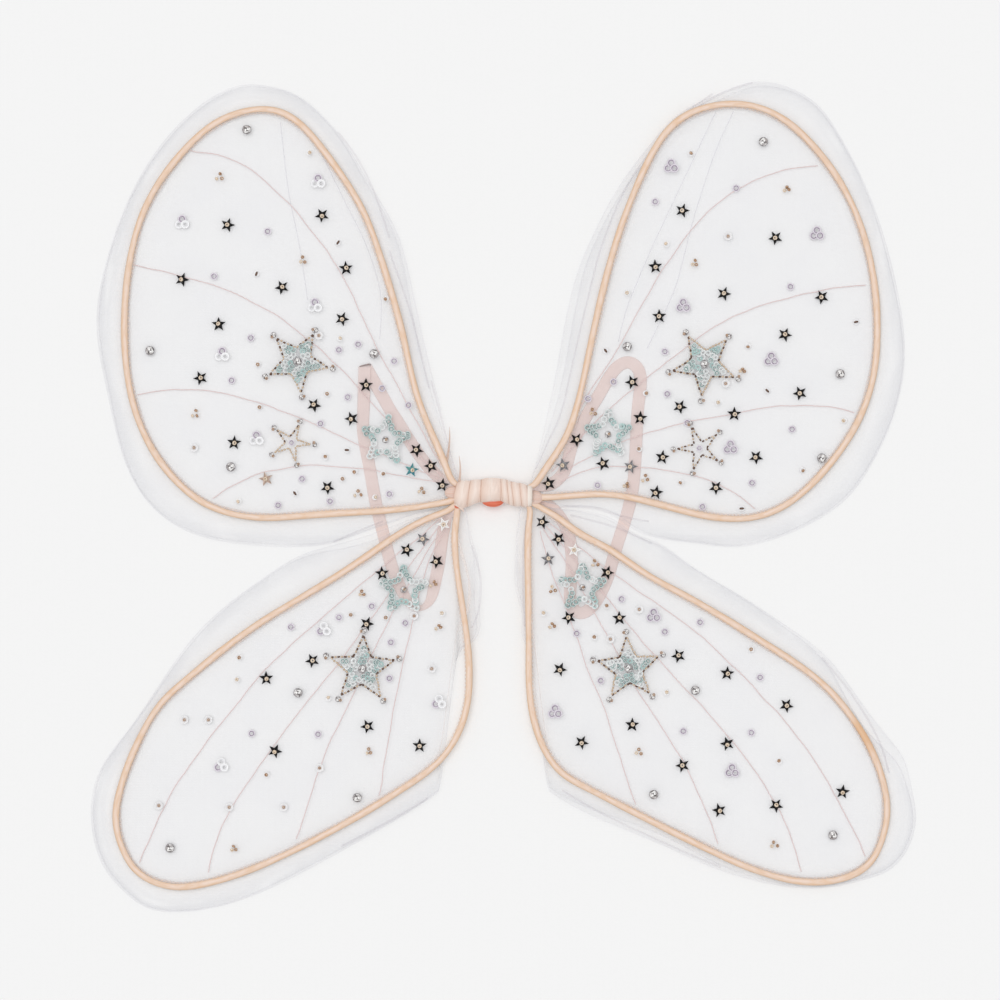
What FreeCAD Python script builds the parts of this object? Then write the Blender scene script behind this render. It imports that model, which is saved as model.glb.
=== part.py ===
import FreeCAD, Part
import math
import os
from dataclasses import dataclass

Vector = FreeCAD.Vector

# Fairy wings, lying flat with the decorated face up and the shoulder straps underneath.
# The origin is on the flat underside of the bridge, at its middle. +Z is up out of the decorated
# face, +Y is towards the tops of the upper wings and +X towards the right wings. Millimetres.

# Bridge: the ribbon-wrapped grip between the wings
BRIDGE_LEFT = -24.7
BRIDGE_RIGHT = 22.7
BRIDGE_MID_Y = 0.6
BRIDGE_HALF_WIDTH = 8.7
BRIDGE_HALF_HEIGHT = 6.7
BRIDGE_AXIS_Z = 6.2
RIBBON_WALL = 1.3
LINING_WALL = 1.6
LAYER_GAP = 0.1
BORE_GAP = 0.1

# Wings: wire loops in satin casings, sewn on two layers of organza
WIRE_RADIUS = 0.6
CASING_WIDTH = 4.2
CASING_HEIGHT = 3.0
ORGANZA_THICKNESS = 0.4
ORGANZA_GAP = 0.1
WING_HEIGHT = 3.4
SEWN_GAP = 0.05
HINGE_INSET = 0.5
VEIN_WIDTH = 0.6
VEIN_HEIGHT = 0.25
TRIM_BASE = SEWN_GAP + VEIN_HEIGHT + SEWN_GAP
WIRE_END_PITCH = 1.9  # between the wires' ends, side by side inside the bridge
CUT_SPAN = 100  # the size of a cutting shape, more than anything that it cuts
PATH_TOLERANCE = 0.06

# Shoulder straps: flat elastic
STRAP_WIDTH = 7.7
STRAP_THICKNESS = 0.8
STRAP_INSET = 0.4

# Trimmings
STAR_TIP = 4.6
STAR_NOTCH = 2.0
SEQUIN_RADIUS = 2.25
SEQUIN_HOLE = 0.6
SEQUIN_THICKNESS = 0.25
CLUSTER_RADIUS = 2.65
BEAD_RADIUS = 1.3
BEAD_HOLE = 0.45
BEAD_HEIGHT = 1.5
TRIO_RADIUS = 1.6
CRYSTAL_RADIUS = 2.9
CRYSTAL_HEIGHT = 2.0
MOTIF_THICKNESS = 0.6
FILLED_STAR_TIP = 18.5
FILLED_STAR_NOTCH = 8.5
AQUA_STAR_TIP = 14.0
AQUA_STAR_NOTCH = 6.4
BEAD_STAR_NOTCH_SHARE = 0.42  # the notches' distance from the middle, as a share of the tips'
STAR_POINTS = 5


@dataclass
class Wing:
    """One wing: its outlines, in the plane seen from above, and where its trimmings are sewn."""

    name: str
    side: int  # -1 for a left wing, 1 for a right one
    casing: list  # the wire's centre line, from one root end round to the other
    flange: list  # the organza's cut edge, closed by a straight line at the root
    veins: list
    stars: list
    rings: list
    clusters: list
    cups: list
    singles: list
    trios: list
    crystals: list
    filled_star: tuple  # x, y and the direction of one tip in degrees
    aqua_star: tuple
    bead_star: tuple = None  # x, y, turn and reach of the tips


UPPER_LEFT = Wing(
    name="upper_left",
    side=-1,
    casing=[
        (-27.6, 9.2), (-37, 32.5), (-47.5, 58), (-56, 93), (-72, 150), (-80.5, 173),
        (-107, 214.5), (-122.5, 232), (-134.5, 239), (-147, 240.5), (-162, 237.5), (-177.5, 230),
        (-192, 217), (-217.5, 181), (-230, 132.5), (-231.5, 97), (-227, 60), (-212.5, 25),
        (-200.5, 9.5), (-187, -2.5), (-171, -10.5), (-152, -14.5), (-113, -13), (-54.5, -9),
        (-25.6, -3.9),
    ],
    flange=[
        (-25.6, 9.2), (-28.8, 34), (-37, 65.5), (-52.5, 132.5), (-62, 165.5), (-77.5, 192.5),
        (-95.5, 222), (-109, 237.5), (-124.5, 249.5), (-142.5, 255), (-158, 255.5), (-171, 251),
        (-200.5, 228), (-225, 192.5), (-242, 148), (-249, 109), (-242, 62), (-230, 17),
        (-220.5, -0.5), (-207, -14.5), (-193, -23), (-150, -32), (-120, -33), (-100, -30.2),
        (-87, -25.8), (-60, -16.2), (-50, -12.7), (-37, -9.9), (-25.6, -6.3),
    ],
    veins=[
        [(-190, 214), (-155.5, 204.5), (-127, 179.5), (-101, 145.5), (-80, 105), (-56, 58), (-33, 17.5)],
        [(-225, 143), (-181, 132.5), (-138, 112.5), (-107, 87.5), (-77.5, 56), (-34, 12)],
        [(-223, 62), (-195, 65.5), (-142.5, 55), (-87.5, 32), (-36, 10)],
        [(-176, -3), (-158, 7.5), (-119, 17), (-87.5, 15.5), (-38, 8)],
    ],
    stars=[
        (-167, 168), (-108, 174), (-93, 141), (-195.5, 134), (-133, 129), (-172.5, 106),
        (-95.5, 109.5), (-184, 72.5), (-80.5, 68), (-113, 55.5), (-89.5, 47), (-163, 32),
        (-49, 27.5), (-40, 17.5), (-33, 5.5), (-104.5, 4), (-143, 9.5), (-52, 15),
    ],
    rings=[
        (-142, 164), (-175.5, 136), (-152.5, 97.5), (-164.5, 71), (-97.5, 90), (-85.5, 93.5),
        (-63, 83), (-70.5, 66), (-54, 55.5), (-92, 60.5), (-109, 44), (-66, 0), (-103, -4.5),
        (-135.5, -7), (-120.5, 9.5),
    ],
    clusters=[(-110.5, 195), (-195.5, 169.5), (-112.5, 117.5), (-170.5, 87), (-149, 34.5)],
    cups=[(-188, 29), (-110, 99)],
    singles=[
        (-116, 213), (-98, 157), (-149, 137.5), (-68, 122), (-148, 81), (-97, 97), (-105, 62.5),
        (-147, 54.5), (-92.5, 27.5), (-106, 23), (-87.5, 14), (-70, 13), (-95.5, 9.5),
        (-125, 0.5), (-160, -4.5), (-75, -2),
    ],
    trios=[(-172, 198), (-120, 146), (-187, 50), (-85.5, 0), (-45.5, 2)],
    crystals=[(-155, 227.5), (-215.5, 89.5), (-75.5, 87.5), (-165, 17)],
    filled_star=(-123, 82.5, 61),
    aqua_star=(-68, 34.5, 84),
    bead_star=(-127.8, 32.5, 66, 11.3),
)

UPPER_RIGHT = Wing(
    name="upper_right",
    side=1,
    casing=[
        (25.9, 7.0), (33, 18), (44.5, 36), (51, 54.5), (60, 95), (70.5, 140), (77.5, 164),
        (87, 189), (99, 214.5), (112.5, 232), (128, 240.5), (147.5, 243.8), (163, 242),
        (179, 235), (194.5, 222), (220, 187), (234, 148), (238.8, 105), (234.5, 65.5),
        (218, 30.5), (206, 15), (190.5, -0.5), (175, -10.5), (159.5, -15), (140, -15),
        (100.5, -6), (65.5, 0), (46, -1.2), (23.6, -2.2),
    ],
    flange=[
        (23.6, 7.5), (25.5, 19), (36, 65.5), (55, 148), (64, 167.5), (77.5, 192.5), (95, 216),
        (112.5, 235.5), (140, 250.5), (163, 257.5), (182.5, 254.5), (200.5, 244), (214, 226),
        (235.5, 183), (245, 154), (253, 119), (256, 89.5), (247.5, 44.5), (235.5, 19),
        (218, -4.5), (198, -18), (175, -28), (151, -33), (128, -31), (104, -28), (88, -23),
        (76, -15), (60, -9.5), (40, -7.3), (30, -4.8), (23.6, -4.6),
    ],
    veins=[
        [(201, 205), (159.5, 194), (124.5, 167.5), (97, 130), (75.5, 93), (52, 52), (32, 15)],
        [(231, 130.5), (187, 123), (149.5, 109), (109, 83), (67.5, 48), (36, 14)],
        [(224, 51), (198, 54.5), (147.5, 50), (91, 35.5), (39, 11.5)],
        [(162, -9), (135.5, 8), (100.5, 16), (81, 17.5), (41, 7.5)],
    ],
    stars=[
        (117, 177), (175, 160), (100, 142), (143, 125), (204, 123), (102.5, 111), (181, 99.5),
        (190.5, 63), (149.5, 50), (115.5, 54.5), (85.5, 70), (90.5, 47.5), (50.8, 33.8),
        (67.5, 19), (104.5, 23), (163, 23), (33.5, 6.5), (100.5, 1), (138, 4), (42.5, 18),
        (84.5, 17),
    ],
    rings=[
        (100, 182.5), (150.5, 191), (184.5, 129.5), (106, 89), (107.5, 62.5), (58, 59.5),
        (120, 44.5), (185.5, 40.5), (160.5, 7), (129.5, -8), (64, 5.5), (74, 70),
    ],
    clusters=[(110, 204.5), (201, 162.5), (117.5, 117.5), (172.5, 84), (147, 29)],
    cups=[(145.5, 161), (144, 69)],
    singles=[
        (122, 212.5), (107, 156), (82.5, 125.5), (225.5, 107.5), (158, 92.5), (170, 64.5),
        (139, 57), (94, 63), (69, 89.5), (218, 46), (192, 15), (154, -9), (116, 7.5),
        (90, 28),
    ],
    trios=[(182, 190.5), (124.5, 144), (154.5, 77), (61, 51), (82, 5.5), (94, 9.5)],
    crystals=[(167.5, 220), (82.5, 92), (215.5, 75), (204, 22.5)],
    filled_star=(130, 80.5, 119),
    aqua_star=(70.5, 37.5, 90),
    bead_star=(128, 29.8, 107, 13),
)

LOWER_LEFT = Wing(
    name="lower_left",
    side=-1,
    casing=[
        (-28.3, -9.9), (-38, -13.6), (-49, -18.5), (-74, -34.5), (-101, -52.5), (-154.5, -85.5),
        (-192.5, -115.5), (-209, -131), (-221, -150.5), (-235, -187.5), (-237, -205),
        (-233, -221), (-224.5, -235), (-214, -242), (-200, -245.5), (-184, -244), (-165, -239),
        (-122.5, -221), (-72, -193), (-52.5, -180.5), (-35, -167), (-24.5, -152.5), (-18, -135),
        (-16, -114), (-17.5, -89), (-24.5, -40.5), (-25, -22.5), (-23.5, -12),
    ],
    flange=[
        (-27.5, -8.3), (-37, -11.8), (-50, -14.7), (-60, -18.2), (-88, -28.3), (-101, -31.8),
        (-119.5, -37.5), (-144, -52), (-184, -84.5), (-212, -122.5), (-233, -152.5),
        (-245.5, -170), (-251, -184.5), (-252.5, -202), (-250, -219.5), (-242, -237),
        (-231, -249), (-219.5, -257.5), (-198, -261), (-172, -257.5), (-147, -249),
        (-92.5, -221), (-40, -189.5), (-24.5, -177), (-15, -165), (-12, -135), (-12, -104),
        (-14, -67), (-18, -44), (-20, -24), (-21.6, -14), (-23, -10.6), (-25.6, -9.6),
    ],
    veins=[
        [(-33, -14.5), (-75, -50.5), (-122.5, -91), (-172, -145.5), (-209, -200), (-222, -230)],
        [(-31.5, -16), (-66, -61), (-101, -107), (-140, -158), (-170, -205), (-179, -236)],
        [(-30, -18), (-56, -61), (-75, -98), (-105, -163), (-124, -215)],
        [(-28.5, -20), (-40, -41), (-50, -80.5), (-63, -137), (-72, -188)],
    ],
    stars=[
        (-55, -35), (-36.5, -42), (-70.5, -49.5), (-80, -81), (-114, -104), (-143, -115),
        (-137.5, -160.5), (-79.5, -145), (-47, -157), (-45, -28), (-32.2, -18.8),
    ],
    rings=[
        (-127.5, -83), (-97.5, -77), (-77, -70), (-56, -80.5), (-65, -92.5), (-66, -115),
        (-110.5, -150), (-152, -149.5),
    ],
    clusters=[(-107, -84.5), (-35, -130), (-171, -169.5)],
    cups=[
        (-179, -141), (-166, -195.5), (-132, -195.5), (-109.5, -171), (-210, -194.5),
        (-39.5, -109), (-50.5, -76), (-194, -141),
    ],
    singles=[
        (-159.5, -102), (-90, -75), (-68, -77), (-104, -127.5), (-142.5, -175), (-161, -116),
        (-33, -74.5),
    ],
    trios=[(-83, -62.5), (-35, -83), (-79, -161), (-163, -221), (-38.5, -56)],
    crystals=[(-123, -124), (-203, -221), (-86, -189.5)],
    filled_star=(-81, -109.5, 90),
    aqua_star=(-57.5, -59.5, 90),
)

LOWER_RIGHT = Wing(
    name="lower_right",
    side=1,
    casing=[
        (28, -8.2), (40.5, -15.5), (52.5, -24.4), (69, -33), (90.5, -47.5), (120, -64),
        (165, -91), (187, -105), (207.5, -121), (220, -135.5), (237.5, -165), (242.5, -179.5),
        (245, -194), (244.5, -205), (241, -218), (235.5, -229), (225.5, -237), (213, -241.2),
        (199.5, -242.5), (172, -238), (128, -219.5), (52.5, -181), (42.5, -175),
        (35.5, -167.5), (29.5, -157), (24.5, -142.5), (22, -129.5), (21, -105), (20.5, -52.5),
        (20.5, -26), (21.8, -12),
    ],
    flange=[
        (27, -6.5), (40, -9), (60, -11.2), (76, -16.9), (88, -25), (100, -29.6), (117, -40.8),
        (160, -67.5), (183, -83), (206, -100.5), (224.5, -124), (246, -152.5), (254, -163),
        (261, -187), (263, -200.5), (261, -214.5), (256, -225), (244.5, -236), (234, -240),
        (206, -246), (183, -245.5), (165, -242), (140.5, -235), (104, -219), (60, -200.5),
        (44.5, -192.5), (34, -185.5), (24.5, -174.5), (21, -168), (19.5, -140), (16, -114),
        (15.5, -61), (16, -44), (17.5, -26), (18.4, -14), (19.8, -10.4), (23.6, -9.6),
    ],
    veins=[
        [(34, -18), (75, -50), (124.5, -87.5), (169.5, -129.5), (210.5, -182), (231, -226)],
        [(32, -21), (69, -64.5), (104, -105), (152, -158), (179.5, -201), (191, -235)],
        [(30, -22), (62.5, -74.5), (92, -125), (123, -175), (139, -218)],
        [(28, -24), (38, -54.5), (59.5, -111), (81, -172), (87.5, -193)],
    ],
    stars=[
        (29.5, -17.5), (39.5, -28), (33, -40.5), (70, -49), (46, -77), (77.5, -77.5),
        (40.5, -109.5), (114.5, -101), (85.5, -144), (54, -155), (117, -169.5), (145, -112),
        (182, -132), (145, -156), (217, -186), (175.5, -194.5), (140, -197.5), (49.5, -35),
    ],
    rings=[
        (79, -65.5), (128, -80), (106, -86), (51, -87), (66, -116.5), (117.5, -148),
        (165.5, -114.5), (160, -149),
    ],
    clusters=[(99, -76), (37.5, -136), (148, -173)],
    cups=[(72, -90.5), (90, -72)],
    singles=[
        (30, -74.5), (62, -89.5), (69.5, -70), (107, -124), (160, -97), (177.5, -167),
    ],
    trios=[(62.5, -43), (36, -59.5), (36, -82), (89.5, -161), (174.5, -219)],
    crystals=[(125, -122.5), (99, -187.5), (211, -213)],
    filled_star=(83, -109.5, 94),
    aqua_star=(54, -58, 90),
)

WINGS = [UPPER_LEFT, UPPER_RIGHT, LOWER_LEFT, LOWER_RIGHT]

# Each strap is a closed loop for one arm: both of its ends are caught in the same end of the bridge.
STRAPS = {
    "left_shoulder_strap": [
        (-25.6, 4.4), (-36, 11), (-46, 22.5), (-62, 47.5), (-70.5, 64.5), (-74.5, 74), (-79.5, 79),
        (-84.5, 76.5), (-85.5, 70), (-83.5, 55), (-82.5, 40), (-79, 20), (-74, -8), (-69.5, -26),
        (-64, -47), (-59, -59), (-54, -68), (-47.5, -72), (-41.5, -68.5), (-38.5, -60),
        (-35, -42), (-31, -17), (-25.6, -4.4),
    ],
    "right_shoulder_strap": [
        (23.6, 4.4), (34, 5.5), (41, 10.5), (45, 18.5), (47.5, 29), (52.5, 40), (57.5, 49.5),
        (65, 62), (71, 72.5), (77, 80), (83.5, 82.5), (89, 79), (91, 72), (90, 60), (88.5, 40),
        (87.5, 20), (85.5, 0), (80.5, -19), (75, -36), (70, -53), (65, -64), (59, -72),
        (52.5, -74.5), (48, -70), (47, -60), (48, -47), (47.5, -33), (44.5, -21), (38, -11),
        (32, -6), (23.6, -4.4),
    ],
}


def path(points):
    """A smooth line through points in the plane, made of arcs that meet without a corner."""
    curve = Part.BSplineCurve()
    curve.interpolate([Vector(x, y, 0) for x, y in points])
    return Part.Wire([arc.toShape() for arc in curve.toBiArcs(PATH_TOLERANCE)])


def save(name, solids):
    """Writes one sub-part, as one solid or a group of separate ones."""
    Part.makeCompound(solids).exportStep(f"parts/{name}.step")


def plate(points, bottom, thickness):
    """A flat sheet whose edge is a smooth line, closed by one straight line."""
    edge = path(points)
    corners = edge.OrderedVertexes
    closing = Part.makeLine(corners[-1].Point, corners[0].Point)
    sheet = Part.Face(Part.Wire(edge.Edges + [closing])).extrude(Vector(0, 0, thickness))
    sheet.translate(Vector(0, 0, bottom))
    return sheet


def ribbon(points, width, bottom, thickness):
    """A flat band of even width along a smooth line."""
    side = path(points).makeOffset2D(width / 2, openResult=True)
    band = side.makeOffset2D(-width, fill=True, openResult=True).extrude(Vector(0, 0, thickness))
    band.translate(Vector(0, 0, bottom))
    return band


def rounded_section(half_width, half_height):
    """A flattened round outline in the XZ plane: two half circles joined by flats."""
    flat = half_width - half_height
    if flat <= 0:
        return Part.Wire([Part.Circle(Vector(0, 0, 0), Vector(0, 1, 0), half_height).toShape()])
    top = Part.makeLine(Vector(-flat, 0, half_height), Vector(flat, 0, half_height))
    bottom = Part.makeLine(Vector(flat, 0, -half_height), Vector(-flat, 0, -half_height))
    ends = [
        Part.Arc(
            Vector(side * flat, 0, half_height),
            Vector(side * half_width, 0, 0),
            Vector(side * flat, 0, -half_height),
        ).toShape()
        for side in (-1, 1)
    ]
    return Part.Wire(Part.__sortEdges__([top, bottom] + ends))


def tube(points, half_width, half_height, middle):
    """A bar of flattened round section that follows a smooth line in the plane."""
    spine = path(points)
    start = spine.OrderedVertexes[0].Point
    first = spine.OrderedEdges[0]
    along = first.tangentAt(first.FirstParameter)
    section = rounded_section(half_width, half_height)
    section.rotate(Vector(0, 0, 0), Vector(0, 0, 1), math.degrees(math.atan2(along.y, along.x)) + 90)
    section.translate(start)
    bar = spine.makePipeShell([section], True, False)
    bar.translate(Vector(0, 0, middle))
    return bar


def star_plate(x, y, tip, notch, thickness, turn):
    """A flat five-pointed star, one point in the direction of turn degrees."""
    corners = []
    for step in range(2 * STAR_POINTS + 1):
        angle = math.radians(turn + 180 / STAR_POINTS * step)
        reach = notch if step % 2 else tip
        corners.append(Vector(x + reach * math.cos(angle), y + reach * math.sin(angle), TRIM_BASE))
    return Part.Face(Part.makePolygon(corners)).extrude(Vector(0, 0, thickness))


def pierced_disc(x, y, radius, hole, height, bottom=TRIM_BASE):
    """A round sequin or bead, with the hole that its thread goes through."""
    disc = Part.makeCylinder(radius, height, Vector(x, y, bottom))
    return disc.cut(Part.makeCylinder(hole, height, Vector(x, y, bottom)))


def around(x, y, radius, count, turn=90.0):
    """Places evenly spaced on a circle."""
    angles = [math.radians(turn + 360 / count * step) for step in range(count)]
    return [(x + radius * math.cos(angle), y + radius * math.sin(angle)) for angle in angles]


def crystal(x, y):
    """A set crystal: a round stone that narrows to its flat top."""
    return Part.makeCone(CRYSTAL_RADIUS, CRYSTAL_RADIUS / 2, CRYSTAL_HEIGHT, Vector(x, y, TRIM_BASE))


def star_sequins(wing):
    """The black stars, each turned its own way and pierced for its bead's thread."""
    solids = []
    for index, (x, y) in enumerate(wing.stars):
        star = star_plate(x, y, STAR_TIP, STAR_NOTCH, SEQUIN_THICKNESS, 47 * index)
        solids.append(star.cut(Part.makeCylinder(BEAD_HOLE, CUT_SPAN, Vector(x, y, 0))))
    return solids


def ring_sequins(wing):
    """The flat lilac sequins, single and in clusters of three."""
    places = list(wing.rings)
    for x, y in wing.clusters:
        places += around(x, y, CLUSTER_RADIUS, 3)
    return [pierced_disc(x, y, SEQUIN_RADIUS, SEQUIN_HOLE, SEQUIN_THICKNESS) for x, y in places]


def seed_beads(wing):
    """The beads: one on each star sequin, in threes, and singly."""
    on_stars = TRIM_BASE + SEQUIN_THICKNESS + SEWN_GAP
    solids = [pierced_disc(x, y, BEAD_RADIUS, BEAD_HOLE, BEAD_HEIGHT, on_stars) for x, y in wing.stars]
    places = list(wing.singles)
    for x, y in wing.trios:
        places += around(x, y, TRIO_RADIUS, 3)
    return solids + [pierced_disc(x, y, BEAD_RADIUS, BEAD_HOLE, BEAD_HEIGHT) for x, y in places]


def motif(x, y, turn, tip, notch):
    """A star worked in beads and sequins, as one low star-shaped patch."""
    return [star_plate(x, y, tip, notch, MOTIF_THICKNESS, turn)]


def casing_with_wire(wing):
    """The satin casing, hollow along its whole length, and the wire that fills it."""
    middle = SEWN_GAP + CASING_HEIGHT / 2
    bore = WIRE_RADIUS + BORE_GAP
    outer = tube(wing.casing, CASING_WIDTH / 2, CASING_HEIGHT / 2, middle)
    hollow = tube(wing.casing, bore, bore, middle)
    wire = tube(wing.casing, WIRE_RADIUS, WIRE_RADIUS, middle)
    return outer.cut(hollow), wire


def wing_parts(wing):
    """All pieces of one wing in its own flat plane, by name."""
    casing, wire = casing_with_wire(wing)
    lower_layer = -2 * ORGANZA_THICKNESS - ORGANZA_GAP
    parts = {
        "frame_wire": [wire],
        "wire_casing": [casing],
        "organza_front": [plate(wing.flange, -ORGANZA_THICKNESS, ORGANZA_THICKNESS)],
        "organza_back": [plate(wing.flange, lower_layer, ORGANZA_THICKNESS)],
        "vein_embroidery": [ribbon(v, VEIN_WIDTH, SEWN_GAP, VEIN_HEIGHT) for v in wing.veins],
        "star_sequins": star_sequins(wing),
        "ring_sequins": ring_sequins(wing),
        "cup_sequins": [
            pierced_disc(x, y, SEQUIN_RADIUS, SEQUIN_HOLE, SEQUIN_THICKNESS) for x, y in wing.cups
        ],
        "seed_beads": seed_beads(wing),
        "crystals": [crystal(x, y) for x, y in wing.crystals],
        "filled_star": motif(*wing.filled_star, FILLED_STAR_TIP, FILLED_STAR_NOTCH),
        "aqua_star": motif(*wing.aqua_star, AQUA_STAR_TIP, AQUA_STAR_NOTCH),
    }
    if wing.bead_star:
        x, y, turn, tip = wing.bead_star
        parts["bead_star"] = motif(x, y, turn, tip, tip * BEAD_STAR_NOTCH_SHARE)
    return parts


def tilt_down(shape, wing):
    """Lifts a wing off the floor at its root and slopes it so that its far edge rests there."""
    hinge = BRIDGE_LEFT - HINGE_INSET if wing.side < 0 else BRIDGE_RIGHT + HINGE_INSET
    reach = max(abs(x - hinge) for x, _ in wing.flange)
    rise = WING_HEIGHT - 2 * ORGANZA_THICKNESS - ORGANZA_GAP
    slope = math.degrees(math.asin(rise / reach))
    shape.rotate(Vector(hinge, 0, 0), Vector(0, 1, 0), wing.side * slope)
    shape.translate(Vector(0, 0, WING_HEIGHT))


def make_wing(wing):
    """Writes every node of one wing."""
    for part, solids in wing_parts(wing).items():
        for solid in solids:
            tilt_down(solid, wing)
        save(f"{wing.name}_{part}", solids)


def bridge_bar(half_width, half_height, inset=0.0):
    """A bar of elliptic section along the bridge, its ends drawn in by inset."""
    section = Part.Ellipse(Vector(0, 0, 0), half_width, half_height).toShape()
    section.rotate(Vector(0, 0, 0), Vector(0, 0, 1), 90)
    section.rotate(Vector(0, 0, 0), Vector(0, 1, 0), 90)
    section.translate(Vector(BRIDGE_LEFT + inset, BRIDGE_MID_Y, BRIDGE_AXIS_Z))
    length = BRIDGE_RIGHT - BRIDGE_LEFT - 2 * inset
    return Part.Face(Part.Wire([section])).extrude(Vector(length, 0, 0))


def make_bridge():
    """Writes the bridge: the wound ribbon, its coral lining, the tape and the wire ends in it."""
    half_width = BRIDGE_HALF_WIDTH
    half_height = BRIDGE_HALF_HEIGHT
    below = Part.makeBox(CUT_SPAN, CUT_SPAN, CUT_SPAN, Vector(-CUT_SPAN / 2, -CUT_SPAN / 2, -CUT_SPAN))
    wrap = bridge_bar(half_width, half_height).cut(below)
    wrap = wrap.cut(bridge_bar(half_width - RIBBON_WALL, half_height - RIBBON_WALL))
    save("bridge_ribbon", [wrap])

    inner = RIBBON_WALL + LAYER_GAP
    lining = bridge_bar(half_width - inner, half_height - inner, LAYER_GAP)
    inner += LINING_WALL
    lining = lining.cut(bridge_bar(half_width - inner, half_height - inner))
    save("coral_lining", [lining])

    inner += LAYER_GAP
    binding = bridge_bar(half_width - inner, half_height - inner, 2 * LAYER_GAP)
    wire_ends = []
    for row in (-1.5, -0.5, 0.5, 1.5):
        beside = BRIDGE_MID_Y + row * WIRE_END_PITCH
        start = Vector(BRIDGE_LEFT + 3 * LAYER_GAP, beside, BRIDGE_AXIS_Z)
        length = BRIDGE_RIGHT - BRIDGE_LEFT - 6 * LAYER_GAP
        bore_start = start - Vector(1, 0, 0)
        binding = binding.cut(Part.makeCylinder(WIRE_RADIUS + BORE_GAP, length + 2, bore_start, Vector(1, 0, 0)))
        wire_ends.append(Part.makeCylinder(WIRE_RADIUS, length, start, Vector(1, 0, 0)))
    save("binding_tape", [binding])
    save("wire_ends", wire_ends)


def make_straps():
    """Writes the two elastic loops, flat on the floor under the wings, their ends cut square."""
    left = BRIDGE_LEFT - HINGE_INSET - STRAP_INSET
    right = BRIDGE_RIGHT + HINGE_INSET + STRAP_INSET
    corner = Vector(left, -CUT_SPAN / 2, -CUT_SPAN / 2)
    bridge_space = Part.makeBox(right - left, CUT_SPAN, CUT_SPAN, corner)
    for name, route in STRAPS.items():
        save(name, [ribbon(route, STRAP_WIDTH, 0, STRAP_THICKNESS).cut(bridge_space)])


def main():
    os.makedirs("parts", exist_ok=True)
    make_bridge()
    make_straps()
    for wing in WINGS:
        make_wing(wing)


main()
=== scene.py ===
import logging
import math
from dataclasses import dataclass, field
from enum import Enum
from typing import Optional, Sequence, Union

import bpy
import numpy as np
from mathutils.geometry import delaunay_2d_cdt
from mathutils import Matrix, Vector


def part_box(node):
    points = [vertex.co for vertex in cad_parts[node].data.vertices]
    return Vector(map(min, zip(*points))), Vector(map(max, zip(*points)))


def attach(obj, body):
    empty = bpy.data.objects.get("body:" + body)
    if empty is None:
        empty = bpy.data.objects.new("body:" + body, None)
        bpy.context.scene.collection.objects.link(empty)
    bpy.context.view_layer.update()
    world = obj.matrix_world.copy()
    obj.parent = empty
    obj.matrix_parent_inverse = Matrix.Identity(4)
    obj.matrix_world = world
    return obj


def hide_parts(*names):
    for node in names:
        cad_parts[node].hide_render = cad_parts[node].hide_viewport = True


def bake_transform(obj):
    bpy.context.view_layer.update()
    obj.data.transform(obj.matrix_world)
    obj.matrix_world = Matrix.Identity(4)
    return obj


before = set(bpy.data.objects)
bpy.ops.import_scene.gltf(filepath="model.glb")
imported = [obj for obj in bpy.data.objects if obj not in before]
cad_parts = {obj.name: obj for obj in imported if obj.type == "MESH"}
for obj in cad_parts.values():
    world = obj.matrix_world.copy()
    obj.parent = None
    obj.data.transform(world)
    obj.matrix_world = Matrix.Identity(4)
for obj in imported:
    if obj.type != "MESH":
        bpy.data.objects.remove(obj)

# Fairy wings lying flat with the decorated face up: four sheer organza wings with satin-cased wire
# edges and sewn trimmings, a ribbon-wound bridge and two elastic arm loops. Shapes are worked out in
# millimetres and stored in metres. Outlines, wire routes and the places of the trimmings are all read
# from the design's own nodes.

log = logging.getLogger("fairy_wings")

MM = 0.001
FULL_TURN = 2 * math.pi
STAR_POINTS = 5
SEED = 41


# ---- Finishes ----


def linear(hex_code: str, alpha: float = 1.0) -> tuple[float, float, float, float]:
    """Turns an sRGB colour into the linear one that shaders use.

    Args:
        hex_code: the colour as six hexadecimal digits.
        alpha: the fourth channel.

    Returns:
        Red, green, blue and alpha, linear.
    """
    channels = [int(hex_code[i : i + 2], 16) / 255 for i in (0, 2, 4)]
    red, green, blue = [c / 12.92 if c <= 0.04045 else ((c + 0.055) / 1.055) ** 2.4 for c in channels]
    return red, green, blue, alpha


Socket = bpy.types.NodeSocket
Value = Union[float, Sequence[float], Socket]


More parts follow.
